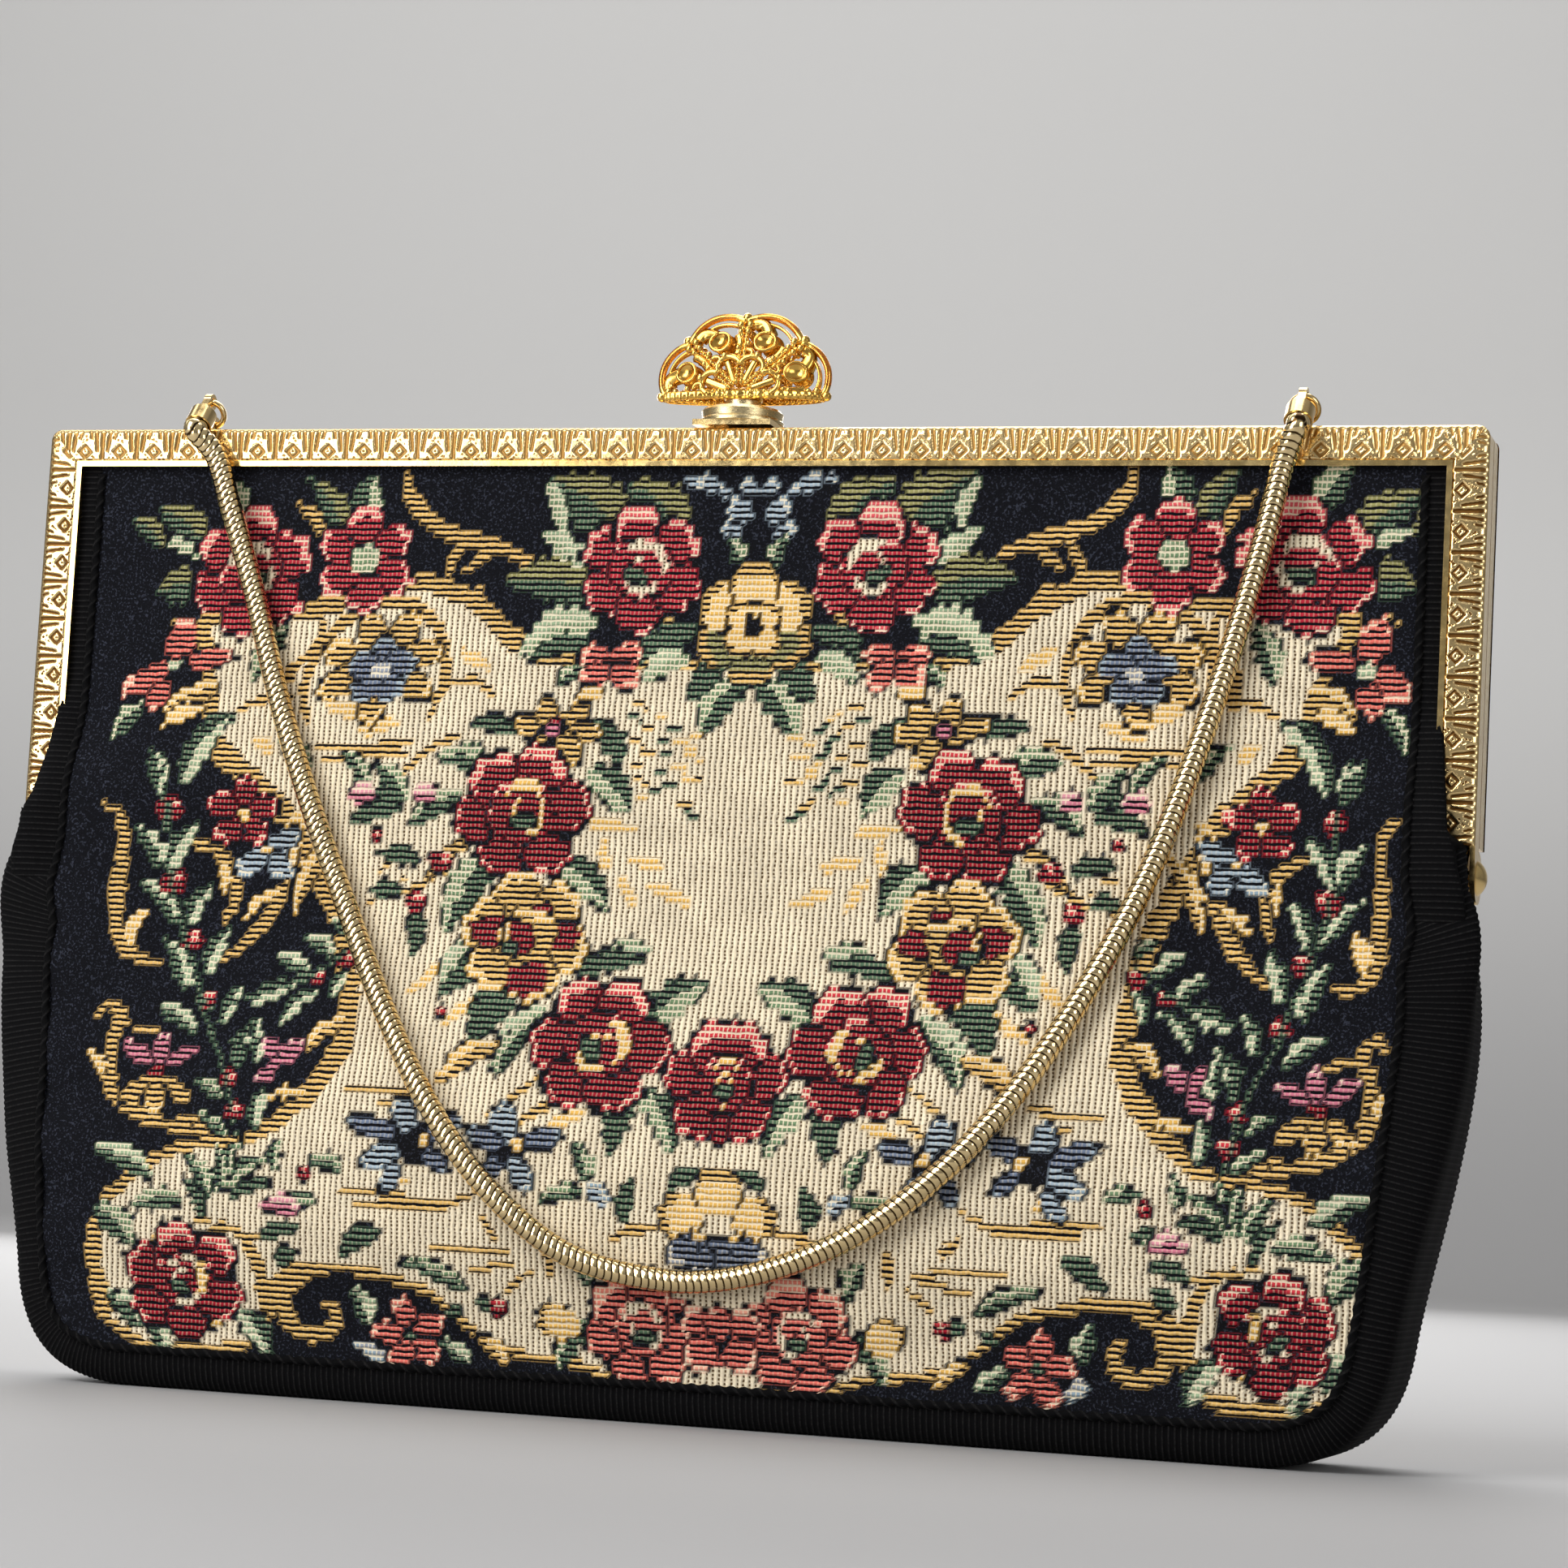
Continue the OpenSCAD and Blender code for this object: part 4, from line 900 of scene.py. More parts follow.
def weave_top(loom):
    """Flowers of the bouquet in the middle, the pansy in its ring, and the corner roses."""
    bells = (
        (3, 144, 2.4), (4.4, 140.4, 1.9), (1.4, 147.6, 1.7), (8.6, 148.4, 1.9), (6, 147, 1.2),
        (11.4, 149, 1.2))
    for cx, cz, r in bells:
        loom.petal(cx, cz, r, 0.8 * r, 40, BLUE, BLUE_PALE, gap=0.3)
    loom.leaf(2, 134, 5, 140, 1.3, "two")
    loom.rose(19.4, 134.6, 10.8, 65, ROSY, ROSY_PALE, CREAM)
    for threads, angles in (((OLIVE, GOLD), (270, 210, 330)), ((GOLD_PALE, GOLD), (150, 30, 90))):
        loom.spray(0, 125.4, [(6.4, 3.6, 3.9, angle) for angle in angles], *threads, gap=0.6)
    loom.ring(0, 124.8, 2.8, 2.4, 2.6, 4, 45, GOLD_PALE, GOLD)
    loom.disc(0, 124.6, 1.5, BLACK)
    loom.spray(23.4, 118.6, [(3.2, 2.7, 2.0, angle) for angle in (30, 140, 225, 320)], CORAL, CORAL_PALE,
               rise=2.6 / 3.2)
    loom.leaf(24, 114.4, 29, 111.6, 1.3, "amber")
    # Pansy: gold points behind dark petals
    points = [(6.8, 3.8, 2.3, angle) for angle in (18, 66, 114, 162, 210, 270, 330)]
    loom.spray(62, 118.4, points, GOLD, GOLD_PALE, rise=6.2 / 6.8)
    loom.ring(61.8, 117.6, 3.2, 2.7, 2.3, 5, 90, VIOLET, BLUE)
    loom.disc(61.4, 117.4, 1.7, GREY)
    # Corner roses and the coral lily under them
    loom.ring(67, 136.2, 5.6, 3.3, 2.9, 6, 28, ROSY, ROSY_PALE)
    loom.petal(67.2, 136.4, 2.5, 2.2, 120, GREEN_PALE, SILVER)
    loom.rose(87.4, 134.4, 11.0, 15, ROSY, ROSY_PALE, CREAM)
    lily = (4.4, 3.6, 2.2, 75), (5.4, 3.8, 1.9, 172), (4.6, 3.6, 2.3, 320), (5.8, 2.6, 1.7, 275)
    loom.spray(97, 119, lily, CORAL, CORAL_PALE)
    loom.disc(97, 118.6, 1.2, SILVER)


def weave_wreath(loom):
    """Ring of roses in the cream field, the lily above it and small buds."""
    lily = [(4.6, 3.0, 1.7, angle) for angle in (20, 75, 130, 180, 240, 300)]
    loom.spray(31.5, 107.4, lily, GOLD, GOLD_PALE, rise=3.0 / 4.6)
    loom.petal(31.6, 108, 1.5, 1.2, 90, PINK, RED)
    loom.leaf(50.4, 96.6, 54.4, 97.4, 1.5, "pink")
    loom.leaf(60, 97, 65.2, 96.8, 1.5, "pink")
    loom.rose(36.2, 94.6, 11.2, 30, RED, RED_PALE, GOLD_PALE)
    # Gold rose with red folds
    loom.ring(34.6, 74.6, 7.0, 3.5, 4.0, 6, 75, GOLD, GOLD_PALE)
    folds = (5.2, 3.4, 2.2, 175), (5.6, 3.2, 2.2, 10), (6.2, 3.0, 3.0, 262), (4.0, 2.4, 1.6, 120)
    loom.spray(34.6, 74.4, folds, RED, RED, gap=0.3)
    loom.petal(34.6, 74.6, 4.2, 4.6, 60, GOLD, GOLD_PALE)
    loom.petal(35.6, 74.4, 2.6, 2.8, 330, RED, GOLD_PALE)
    loom.petal(37, 73, 1.5, 1.2, 0, GREEN, GREEN_PALE, gap=0.3)
    loom.rose(20.8, 57.8, 11.2, 100, RED, RED_PALE, GOLD_PALE)
    loom.rose(-0.5, 52.4, 10.4, 50, RED, RED_PALE, GOLD_PALE)


def weave_side(loom):
    """Small flowers of the dark side fields."""
    loom.line([(95, 104), (93.2, 94), (92.6, 84), (89.6, 74), (86, 64), (80.4, 52), (77.6, 42)], 0.4, GREEN)
    loom.line([(84, 62), (76, 64.4), (68, 68), (63, 72)], 0.4, GREEN)
    bell = (3.0, 3.0, 1.5, 150), (3.2, 2.6, 1.7, 230), (3.4, 2.8, 1.6, 320)
    loom.spray(77.4, 88, bell, BLUE, BLUE_PALE)
    loom.disc(77.6, 88, 0.9, GOLD_PALE)
    loom.ring(81.6, 94, 3.6, 2.3, 2.0, 5, 92, RED, RED_PALE)
    loom.disc(81.5, 93.8, 1.0, GOLD_PALE)
    upper = (3.2, 3.0, 1.4, 100), (4.2, 3.0, 1.2, 40), (4.4, 2.8, 1.0, 150)
    lower = (4.6, 3.0, 1.2, 218), (3.6, 3.0, 1.7, 265), (4.4, 2.6, 1.2, 318)
    loom.spray(91.4, 51.6, upper, PINK, PINK_PALE, gap=0.3)
    loom.spray(91.2, 51.2, lower, GOLD, GOLD_PALE, gap=0.3)
    loom.disc(91.2, 51.4, 1.0, RED)
    bud = (2.6, 2.4, 1.2, 55), (2.6, 2.2, 1.2, 125), (2.8, 2.2, 1.1, 320)
    loom.spray(71.4, 53.4, bud, PINK, PINK_PALE, gap=0.3)


def weave_base(loom):
    """Blue flowers, the pansy over the coral roses, flowers in the dark hollow and the corner roses."""
    for cx, cz, *spikes in (
            (34, 41.4, (6.0, 2.6, 1.5, 165), (4.0, 3.0, 1.9, 80), (3.8, 2.8, 1.5, 20),
             (4.8, 2.8, 1.7, 240), (4.6, 2.4, 1.4, 300)),
            (49, 41.6, (5.4, 2.6, 1.5, 150), (4.6, 2.6, 1.6, 70), (6.6, 3.6, 1.5, 18),
             (5.4, 3.2, 1.8, 335), (4.8, 2.4, 1.3, 215), (6.6, 2.4, 1.3, 300))):
        loom.disc(cx, cz, 3.4, BLACK)
        for k, spike in enumerate(spikes):
            loom.spray(cx, cz, [spike], *((BLUE, BLUE_PALE) if k % 2 else (VIOLET, BLUE)))
        loom.disc(cx - 1.6, cz + 0.4, 1.0, GOLD_PALE)
    loom.leaf(17.8, 33, 20.8, 36.2, 1.2, "blue")
    loom.leaf(66.4, 30.4, 72.8, 30.6, 1.5, "pink")
    # Pansy over the chain of roses at the base
    loom.ring(0.6, 30.4, 5.4, 3.4, 3.2, 5, 18, GOLD_PALE, GOLD)
    loom.spray(2.4, 28, [(3.4, 2.6, 2.2, angle) for angle in (215, 270, 325)], VIOLET, GREY, rise=2.6 / 3.4)
    loom.rose(12.6, 14.4, 9.2, 25, CORAL, CORAL_PALE, CREAM)
    loom.ring(1.2, 13.6, 3.2, 2.8, 2.6, 4, 40, CORAL, PEACH)
    loom.petal(26, 15, 3.3, 2.5, 30, GOLD_PALE, GOLD, gap=0.3)
    loom.leaf(36.4, 16.4, 39, 17.6, 1.1, "dark")
    loom.ring(49.6, 11.6, 3.5, 2.4, 1.7, 5, 78, CORAL, CORAL_PALE)
    loom.disc(49.6, 11.6, 0.9, GREEN)
    # Corner rose
    loom.rose(85.2, 18.4, 9.4, 60, RED, RED_PALE, CREAM)
    loom.petal(82.4, 19, 2.2, 1.0, 90, GOLD_PALE, GOLD, gap=0.2)


# Cloth pieces


def tapestry_patch(rear, columns, rows):
    """Panel surface: across the width and up the height, at the bag's half depth from the middle plane."""
    inset = sizes().ribbon_inset / MM
    u = np.linspace(-1, 1, columns + 1)
    z = np.linspace(inset - 0.3, CLOTH_TOP, rows + 1)
    zz = np.repeat(z[None], columns + 1, 0)
    x = u[:, None] * half_width(z)[None] * 1.001
    out = depth(x, zz, not rear)
    edge = ramp(0.80, 1.0, np.abs(u))[:, None]
    out = out - 0.35 * edge * np.sin(zz * 0.42 + 1.3 * np.sin(x * 0.05)) * ramp(80, 60, zz)
    uv = np.stack([x, zz], axis=-1) / 100
    rgb, kind = weave_picture(x, zz)
    if rear:
        points = np.stack([-x, out, zz], axis=-1)
    else:
        points = np.stack([x, -out, zz], axis=-1)
    return grid(points, uv=uv, picture=rgb, weave=kind)


def make_front_tapestry():
    """Woven front panel, clamped in the front jaw and sewn to the ribbon."""
    piece = build("front_tapestry", [tapestry_patch(False, 330, 299)], tapestry_material())
    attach(piece, FRONT)
    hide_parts("front_panel")


def make_back_tapestry():
    """Woven back panel, one cloth across the frame hinge."""
    piece = build("back_tapestry", [tapestry_patch(True, 230, 210)], tapestry_material())
    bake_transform(piece)
    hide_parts("rear_panel", "rear_panel_top")


def ribbon_band():
    """Ribbed band round the sides and base: an arch across the depth, carried along the outline."""
    size = sizes()
    pitch = size.rib_pitch / MM
    half, half_normals = outline(300)
    top = np.linspace(0, 1, 40)[1:, None]
    half = np.vstack([half, half[-1] + top * (-0.6, ARM_END - 2 - NECK_Z)])
    half_normals = np.vstack([half_normals, np.tile(half_normals[-1], (len(top), 1))])
    path = np.vstack([half[::-1] * (-1, 1), half])
    normals = np.vstack([half_normals[::-1] * (-1, 1), half_normals])
    run = lengths_along(path)
    count = int(run[-1] / pitch) * 6
    s = np.linspace(0, run[-1], count)
    path = np.stack([np.interp(s, run, path[:, k]) for k in (0, 1)], axis=1)
    normals = np.stack([np.interp(s, run, normals[:, k]) for k in (0, 1)], axis=1)
    normals /= np.linalg.norm(normals, axis=1)[:, None]
    wide = ribbon_width(path[:, 1])
    angle = np.radians([0, 22, 45, 68, 90])
    rise = np.concatenate([np.sin(angle), [1, 1], np.sin(angle[::-1])])
    lean = np.concatenate([np.cos(angle), [0, 0], np.cos(angle[::-1])])
    side = np.concatenate([np.ones(5), [0.35, -0.35], -np.ones(5)])
    flat = np.concatenate([np.ones(5), [0, 0], np.ones(5)])
    seam_z = path[:, 1] - normals[:, 1] * wide
    in_front = side[None] < 0
    b = seam_depth(seam_z)[:, None] + puff(seam_z)[:, None] * in_front
    roll = np.minimum(3.5, 0.6 * b) * (1 - 0.5 * ramp(SIDE_Z, NECK_Z, path[:, 1])[:, None] * in_front)
    flare = 3.2 * ramp(SIDE_Z - 2, NECK_Z, path[:, 1])[:, None] * (rise * flat)[None] * in_front
    rib = 0.5 + 0.5 * np.cos(2 * np.pi * s / pitch)
    lift = 0.16 * (rib[:, None] - 0.5) * (0.25 + 0.75 * rise[None])
    off = (rise[None] - 1) * wide[:, None] + lift * rise[None] + flare
    y = side[None] * (b - roll + (roll + lift) * lean[None] * flat[None])
    points = np.stack([
        path[:, 0][:, None] + normals[:, 0][:, None] * off, y,
        path[:, 1][:, None] + normals[:, 1][:, None] * off], axis=-1)
    points[..., 2] = np.maximum(points[..., 2], 0)
    tuck = 1 - 0.7 * ramp(NECK_Z - 1, ARM_END - 3, points[..., 2])
    points[..., 1] *= np.where(points[..., 1] > 0, tuck, 1)
    return grid(points, crest=np.repeat(rib[:, None], len(rise), 1))


# Edge of the ribbon's front end: height, how far inside the frame's side its fold is, how far the fold
# stands in front of the arm's face, and how far inside the frame's side it turns back to
LIP = (
    (NECK_Z - 9, 1.6, -1.0, 2.6), (NECK_Z - 3, 0.4, 3.4, 1.8), (NECK_Z + 1, 0.9, 4.6, 1.8),
    (HINGE_Z + 0.5, 2.0, 5.0, 1.8), (ARM_END - 1.2, 2.5, 5.0, 1.8), (ARM_END - 0.1, 2.8, 5.0, 1.0),
    (ARM_END + 2, 3.7, 4.4, 4.4), (HINGE_Z + 10, 4.1, 3.1, 4.8), (HINGE_Z + 14, 4.6, 1.7, 4.8),
    (HINGE_Z + 18, 5.0, 0.8, 5.2), (HINGE_Z + 21, 5.4, 0.4, 5.6), (HINGE_Z + 24, 6.1, -0.6, 6.0),
    (HINGE_Z + 27, 3.2, -1.3, 3.2))


def rib_rows(low):
    """Heights from low up to the cloth's top, six to a rib, and how far up a rib each is."""
    pitch = sizes().rib_pitch / MM
    z = np.linspace(low, CLOTH_TOP, int((CLOTH_TOP - low) / pitch) * 6)
    return z, 0.5 + 0.5 * np.cos(2 * np.pi * z / pitch)


def ribbon_strip(right, low):
    """Ribbon between the tapestry and an arm: flat across, with ribs up its height."""
    wide = sizes().strip_width / MM
    half_w = CHANNEL_HALF_W - wide
    z, rib = rib_rows(low)
    t = np.linspace(0, 1, 6)
    out = seam_depth(z)[:, None] * (1 - t) + CHANNEL_D * t + 0.14 * (rib[:, None] - 0.5)
    tuck = 1.2 * ramp(HINGE_Z + 8, low, z)[:, None] * t
    x = half_w + wide * t[None] - tuck
    points = np.stack([x, -out, np.repeat(z[:, None], 6, 1)], axis=-1)
    patch = flipped(grid(points, crest=np.repeat(rib[:, None], 6, 1)))
    return patch if right else mirrored(patch, "x")


def front_ribbon_end(right):
    """Ribbon beside a front arm: from the seam into the arm's channel, lower down out over its corner."""
    z, rib = rib_rows(LIP[0][0])
    heights, *edges = np.array(LIP).T
    fold, stand, turn = (np.interp(z, heights, edge) for edge in edges)
    inner, reach = half_width(z), FRAME_W / 2 - fold
    face = JAW_D + RIM_H + stand
    tuck = np.minimum(face - 0.5, 2 + (JAW_D - 2.4) * ramp(ARM_END - 1, ARM_END + 0.5, z))
    t = np.linspace(0, 1, 10)[None]
    y = (seam_depth(z) + puff(z))[:, None] * (1 - t) + face[:, None] * t
    y = y + 0.6 * np.clip(stand, 0, 1)[:, None] * np.sin(np.pi * t**1.4) + 0.14 * (rib[:, None] - 0.5)
    x = inner[:, None] + (reach - inner)[:, None] * t
    x = np.column_stack([x, reach + 0.2, FRAME_W / 2 - turn])
    y = np.column_stack([y, face - 0.4, tuck])
    points = np.stack([x, -y, np.repeat(z[:, None], 12, 1)], axis=-1)
    # Crest carries the ribbon's painted sheen: less on the fold, none where the ribbon turns back under
    patch = flipped(grid(points, crest=rib[:, None] * np.array([1] * 10 + [0.4, 0])))
    return patch if right else mirrored(patch, "x")


def make_ribbon():
    """Black ribbed ribbon: the band, and its upper ends in each jaw."""
    material = ribbon_material()
    band = build("ribbon_band", [ribbon_band()], material)
    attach(band, FRONT)
    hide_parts("gusset")
    front = [front_ribbon_end(right) for right in (True, False)]
    strips = build("ribbon_front_ends", front, material)
    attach(strips, FRONT)
    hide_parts("front_side_strips")
    rear = [mirrored(ribbon_strip(right, HINGE_Z + 3.5), "y") for right in (True, False)]
    back = build("ribbon_rear_ends", rear, material)
    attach(back, REAR)
    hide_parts("rear_side_strips")


def seam_braid_patch(rear, top):
    """Twisted seam cord along the tapestry's edge: a round section whose radius follows two strands."""
    seam = seam_line(220)
    seam = seam[seam[:, 1] < NECK_Z + 3]
    beside_arm = CHANNEL_HALF_W - sizes().strip_width / MM
    straight = np.stack([np.full(40, beside_arm), np.linspace(NECK_Z + 3, top, 40)], axis=1)
    half = np.vstack([seam, straight]) if top > NECK_Z + 3 else seam[seam[:, 1] < top]
    path = np.vstack([half[::-1] * (-1, 1), half])
    run = lengths_along(path)
    s = np.arange(0, run[-1], 0.45)
    x, z = (np.interp(s, run, path[:, k]) for k in (0, 1))
    y = seam_depth(z) + 0.15 + (0 if rear else puff(z))
    points = np.stack([x, y if rear else -y, z], axis=1)
    sides = 8
    angle = np.linspace(0, 2 * np.pi, sides, endpoint=False)
    radius = 0.62 + 0.14 * np.cos(2 * (angle[None] - 2 * np.pi * s[:, None] / 4.2))
    patch = tube(points, radius, sides)
    # Crest marks the strands' tops, where the ribbon material paints sheen
    crest = np.clip((np.vstack([radius[:1], radius, radius[-1:]]) - 0.48) / 0.28, 0, 1)
    return Patch(patch.points, patch.quads, {"crest": crest.reshape(-1, 1)})


def make_seam_braid():
    """Cords that cover the two seams between the tapestry and the ribbon."""
    material = ribbon_material()
    front = build("front_seam_cord", [seam_braid_patch(False, CLOTH_TOP - 6)], material)
    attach(front, FRONT)
    back = build("back_seam_cord", [seam_braid_patch(True, CLOTH_TOP - 6)], material)
    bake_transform(back)


def lining_half_width(z):
    """Half width of the lining: inside the seam, and wider between the arms, where it meets the frame."""
    return half_width(z) - 3 + 5 * ramp(HINGE_Z + 6, HINGE_Z + 14, z)


def lining_wall(x, z, side):
    """Lining surface just inside the cloth, with soft crumples."""
    crumple = 0.35 * np.sin(x * 0.21 + 2 * np.sin(z * 0.09)) * np.sin(z * 0.13 + 1)
    return side * (depth(x, z) - 2.3 - 0.4 * np.abs(crumple))


def make_lining():
    """Satin lining: front wall, base and lower back in one, and the upper back flap."""
    material = lining_material()
    columns, front_rows, back_rows, base_rows = 90, 80, 45, 12
    u = np.linspace(1, -1, columns)
    zs = np.concatenate([np.linspace(CLOTH_TOP, 9, front_rows), np.linspace(9, HINGE_Z - 17, back_rows)])
    side = np.concatenate([-np.ones(front_rows), np.ones(back_rows)])
    x = u[:, None] * lining_half_width(np.maximum(zs, 12))[None]
    zz = np.repeat(zs[None], columns, 0)
    y = lining_wall(x, zz, side[None])
    floor = np.linspace(-1, 1, base_rows + 2)[1:-1]
    lowest = front_rows - 1
    base_y = floor[None] * np.abs(y[:, lowest])[:, None]
    base_z = 2.6 + 6.4 * np.abs(floor) ** 6
    base = np.stack([
        np.repeat(x[:, lowest][:, None], base_rows, 1), base_y,
        np.repeat(base_z[None], columns, 0)], axis=-1)
    walls = np.stack([x, y, zz], axis=-1)
    points = np.concatenate([walls[:, :front_rows], base, walls[:, front_rows:]], axis=1)
    main = build("lining_pouch", [flipped(grid(points))], material)
    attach(main, FRONT)
    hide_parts("lining")
    z = np.linspace(HINGE_Z - 22, CLOTH_TOP, 64)
    zz = np.repeat(z[None], columns, 0)
    x = u[:, None] * lining_half_width(z)[None]
    y = lining_wall(x, zz, 1) - 0.4
    flap = build("lining_flap", [grid(np.stack([-x, y, zz], axis=-1))], material)
    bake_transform(flap)
    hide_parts("lining_rear_flap")


# Metal pieces


def emboss(along, across, pitch):
    """Relief of the frame, 1 on its face and 0 in hollows, and where the face is dotted with pits.

    Each repeat has a double diamond beside the rim inside a dotted triangle, and three hollow strokes
    across the face between one triangle and the next.
    """
    half = pitch / 2
    a = np.abs(np.mod(along, pitch) - half)
    diamond = a / 1.55 + np.abs(across - 3.75) / 1.5
    ring = ramp(0.42, 0.5, diamond) * ramp(0.92, 0.82, diamond) + ramp(0.2, 0.1, diamond)
    triangle = 2.35 * np.clip((across - 0.2) / 5.0, 0, 1)
    dotted = ramp(0.1, 0.35, triangle - a) * ramp(1.15, 1.3, diamond)
    t = half - a
    fan = (5.2 - across) / 5.0
    long_stroke = ramp(0.42, 0.24, t) * ramp(0.35, 0.6, across) * ramp(5.2, 4.9, across)
    middle = 0.62 + 0.75 * fan
    short_stroke = ramp(0.34, 0.18, np.abs(t - middle)) * ramp(0.35, 0.6, across) * ramp(4.3, 3.4, across)
    third = 1.05 + 1.35 * fan
    spot = ramp(0.30, 0.14, np.abs(t - third)) * ramp(0.35, 0.6, across) * ramp(2.0, 1.4, across)
    hollow = np.maximum.reduce([np.clip(ring, 0, 1), long_stroke, short_stroke, spot])
    return 1 - hollow, dotted


def jaw_skin(rear):
    """Embossed face of a jaw: the rounded outer edge and the face, carried round the mitred frame."""
    size = sizes()
    pitch, high = size.emboss_pitch / MM, size.emboss_depth / MM
    phi = np.linspace(np.pi * 0.16, np.pi / 2, 6)
    flat_rows = np.linspace(EDGE_R, FACE_H - RIM_W + 0.05, 22)[1:]
    across = np.concatenate([EDGE_R * (1 - np.cos(phi)), flat_rows])[::-1]
    y = np.concatenate([JAW_D - EDGE_R * (1 - np.sin(phi)), np.full(len(flat_rows), JAW_D)])[::-1]
    lean = np.concatenate([phi, np.full(len(flat_rows), np.pi / 2)])[::-1]
    half, step = FRAME_W / 2, 0.2
    arm = np.linspace(0, 1, int((BAG_H - ARM_END) / step))
    top = np.linspace(0, 1, int(FRAME_W / step))
    patches = []
    for kind, share in (("left", arm), ("top", top), ("right", arm[::-1])):
        s = share[:, None]
        if kind == "top":
            along = -half + across + s * 2 * (half - across)
            shift = along / pitch + 0.5
        else:
            along = ARM_END + s * (BAG_H - across - ARM_END)
            shift = (along - ARM_END) / pitch
        relief, dotted = emboss(shift * pitch, np.broadcast_to(across, along.shape), pitch)
        uv = np.stack([shift * pitch, np.broadcast_to(across, along.shape)], axis=-1) / 100
        lift = 0.03 + high * relief
        fade = ramp(0.0, 0.25, FACE_H - RIM_W - across)[None]
        lift = lift * fade - 0.05 * (1 - fade)
        w = across[None] - lift * np.cos(lean)[None]
        depth_y = y[None] + lift * np.sin(lean)[None]
        if kind == "top":
            x, z = along, BAG_H - w
        else:
            x, z = (-half + w if kind == "left" else half - w), along
        x, z = np.broadcast_to(x, along.shape), np.broadcast_to(z, along.shape)
        dx, dz = np.abs(x) - (half - CORNER_R), z - (BAG_H - CORNER_R)
        round_off = (dx > 0) & (dz > 0)
        scale = np.where(round_off, np.maximum(dx, dz) / np.maximum(np.hypot(dx, dz), 1e-6), 1)
        x = np.where(round_off, np.sign(x) * (half - CORNER_R + dx * scale), x)
        z = np.where(round_off, BAG_H - CORNER_R + dz * scale, z)
        depth_y = np.broadcast_to(depth_y, along.shape)
        patch = grid(np.stack([x, -depth_y, z], axis=-1), uv=uv, relief=relief, dotted=dotted)
        patches.append(mirrored(patch, "y") if rear else patch)
    return patches


def show_nodes(material, *names):
    """Gives CAD nodes a finish; they stay as they are."""
    for name in names:
        node = frame["nodes"][name]
        node.data.materials.clear()
        node.data.materials.append(material)


def make_jaws():
    """Frame: polished channels with an embossed skin on each outer face, and the hinge rivets."""
    polished = gold_material("polished_gold", srgb(234, 206, 144), 0.2)
    show_nodes(polished, "front_jaw", "rear_jaw", "hinge_rivet_left", "hinge_rivet_right")
    embossed = embossed_gold_material()
    for name, rear, body in (("front_embossing", False, FRONT), ("rear_embossing", True, REAR)):
        piece = build(name, jaw_skin(rear), embossed)
        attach(piece, body)


def fan_point(r, angle, out, side):
    """Place on the puffed fan: radius and angle in its plane, and a height over its domed face."""
    dome = FAN_DOME * (1 - np.clip(np.asarray(r) / FAN_REACH, 0, 1) ** 2)
    base = np.array([0, (COLLAR_LOW[1] + COLLAR_HIGH[1]) / 2, COLLAR_HIGH[2] + 0.9])
    x = r * np.cos(angle)
    z = FAN_SQUASH * r * np.sin(angle)
    y = side * (dome + out)
    return np.stack(np.broadcast_arrays(x, y, z), axis=-1) + base


def fan_wire(r, angle, side, radius, out=0.0, sides=7, flat=0.0):
    """Wire on the fan through a run of radii and angles; flat widens it to a strip in the fan's face."""
    points = fan_point(np.asarray(r, float), np.asarray(angle, float), out, side)
    turn = np.linspace(0, 2 * np.pi, sides, endpoint=False)
    reach = np.broadcast_to(radius, (len(points),))[:, None] + flat * np.cos(turn)[None] ** 2
    return tube(points, reach, sides, up=(0.02, 1, 0.03))


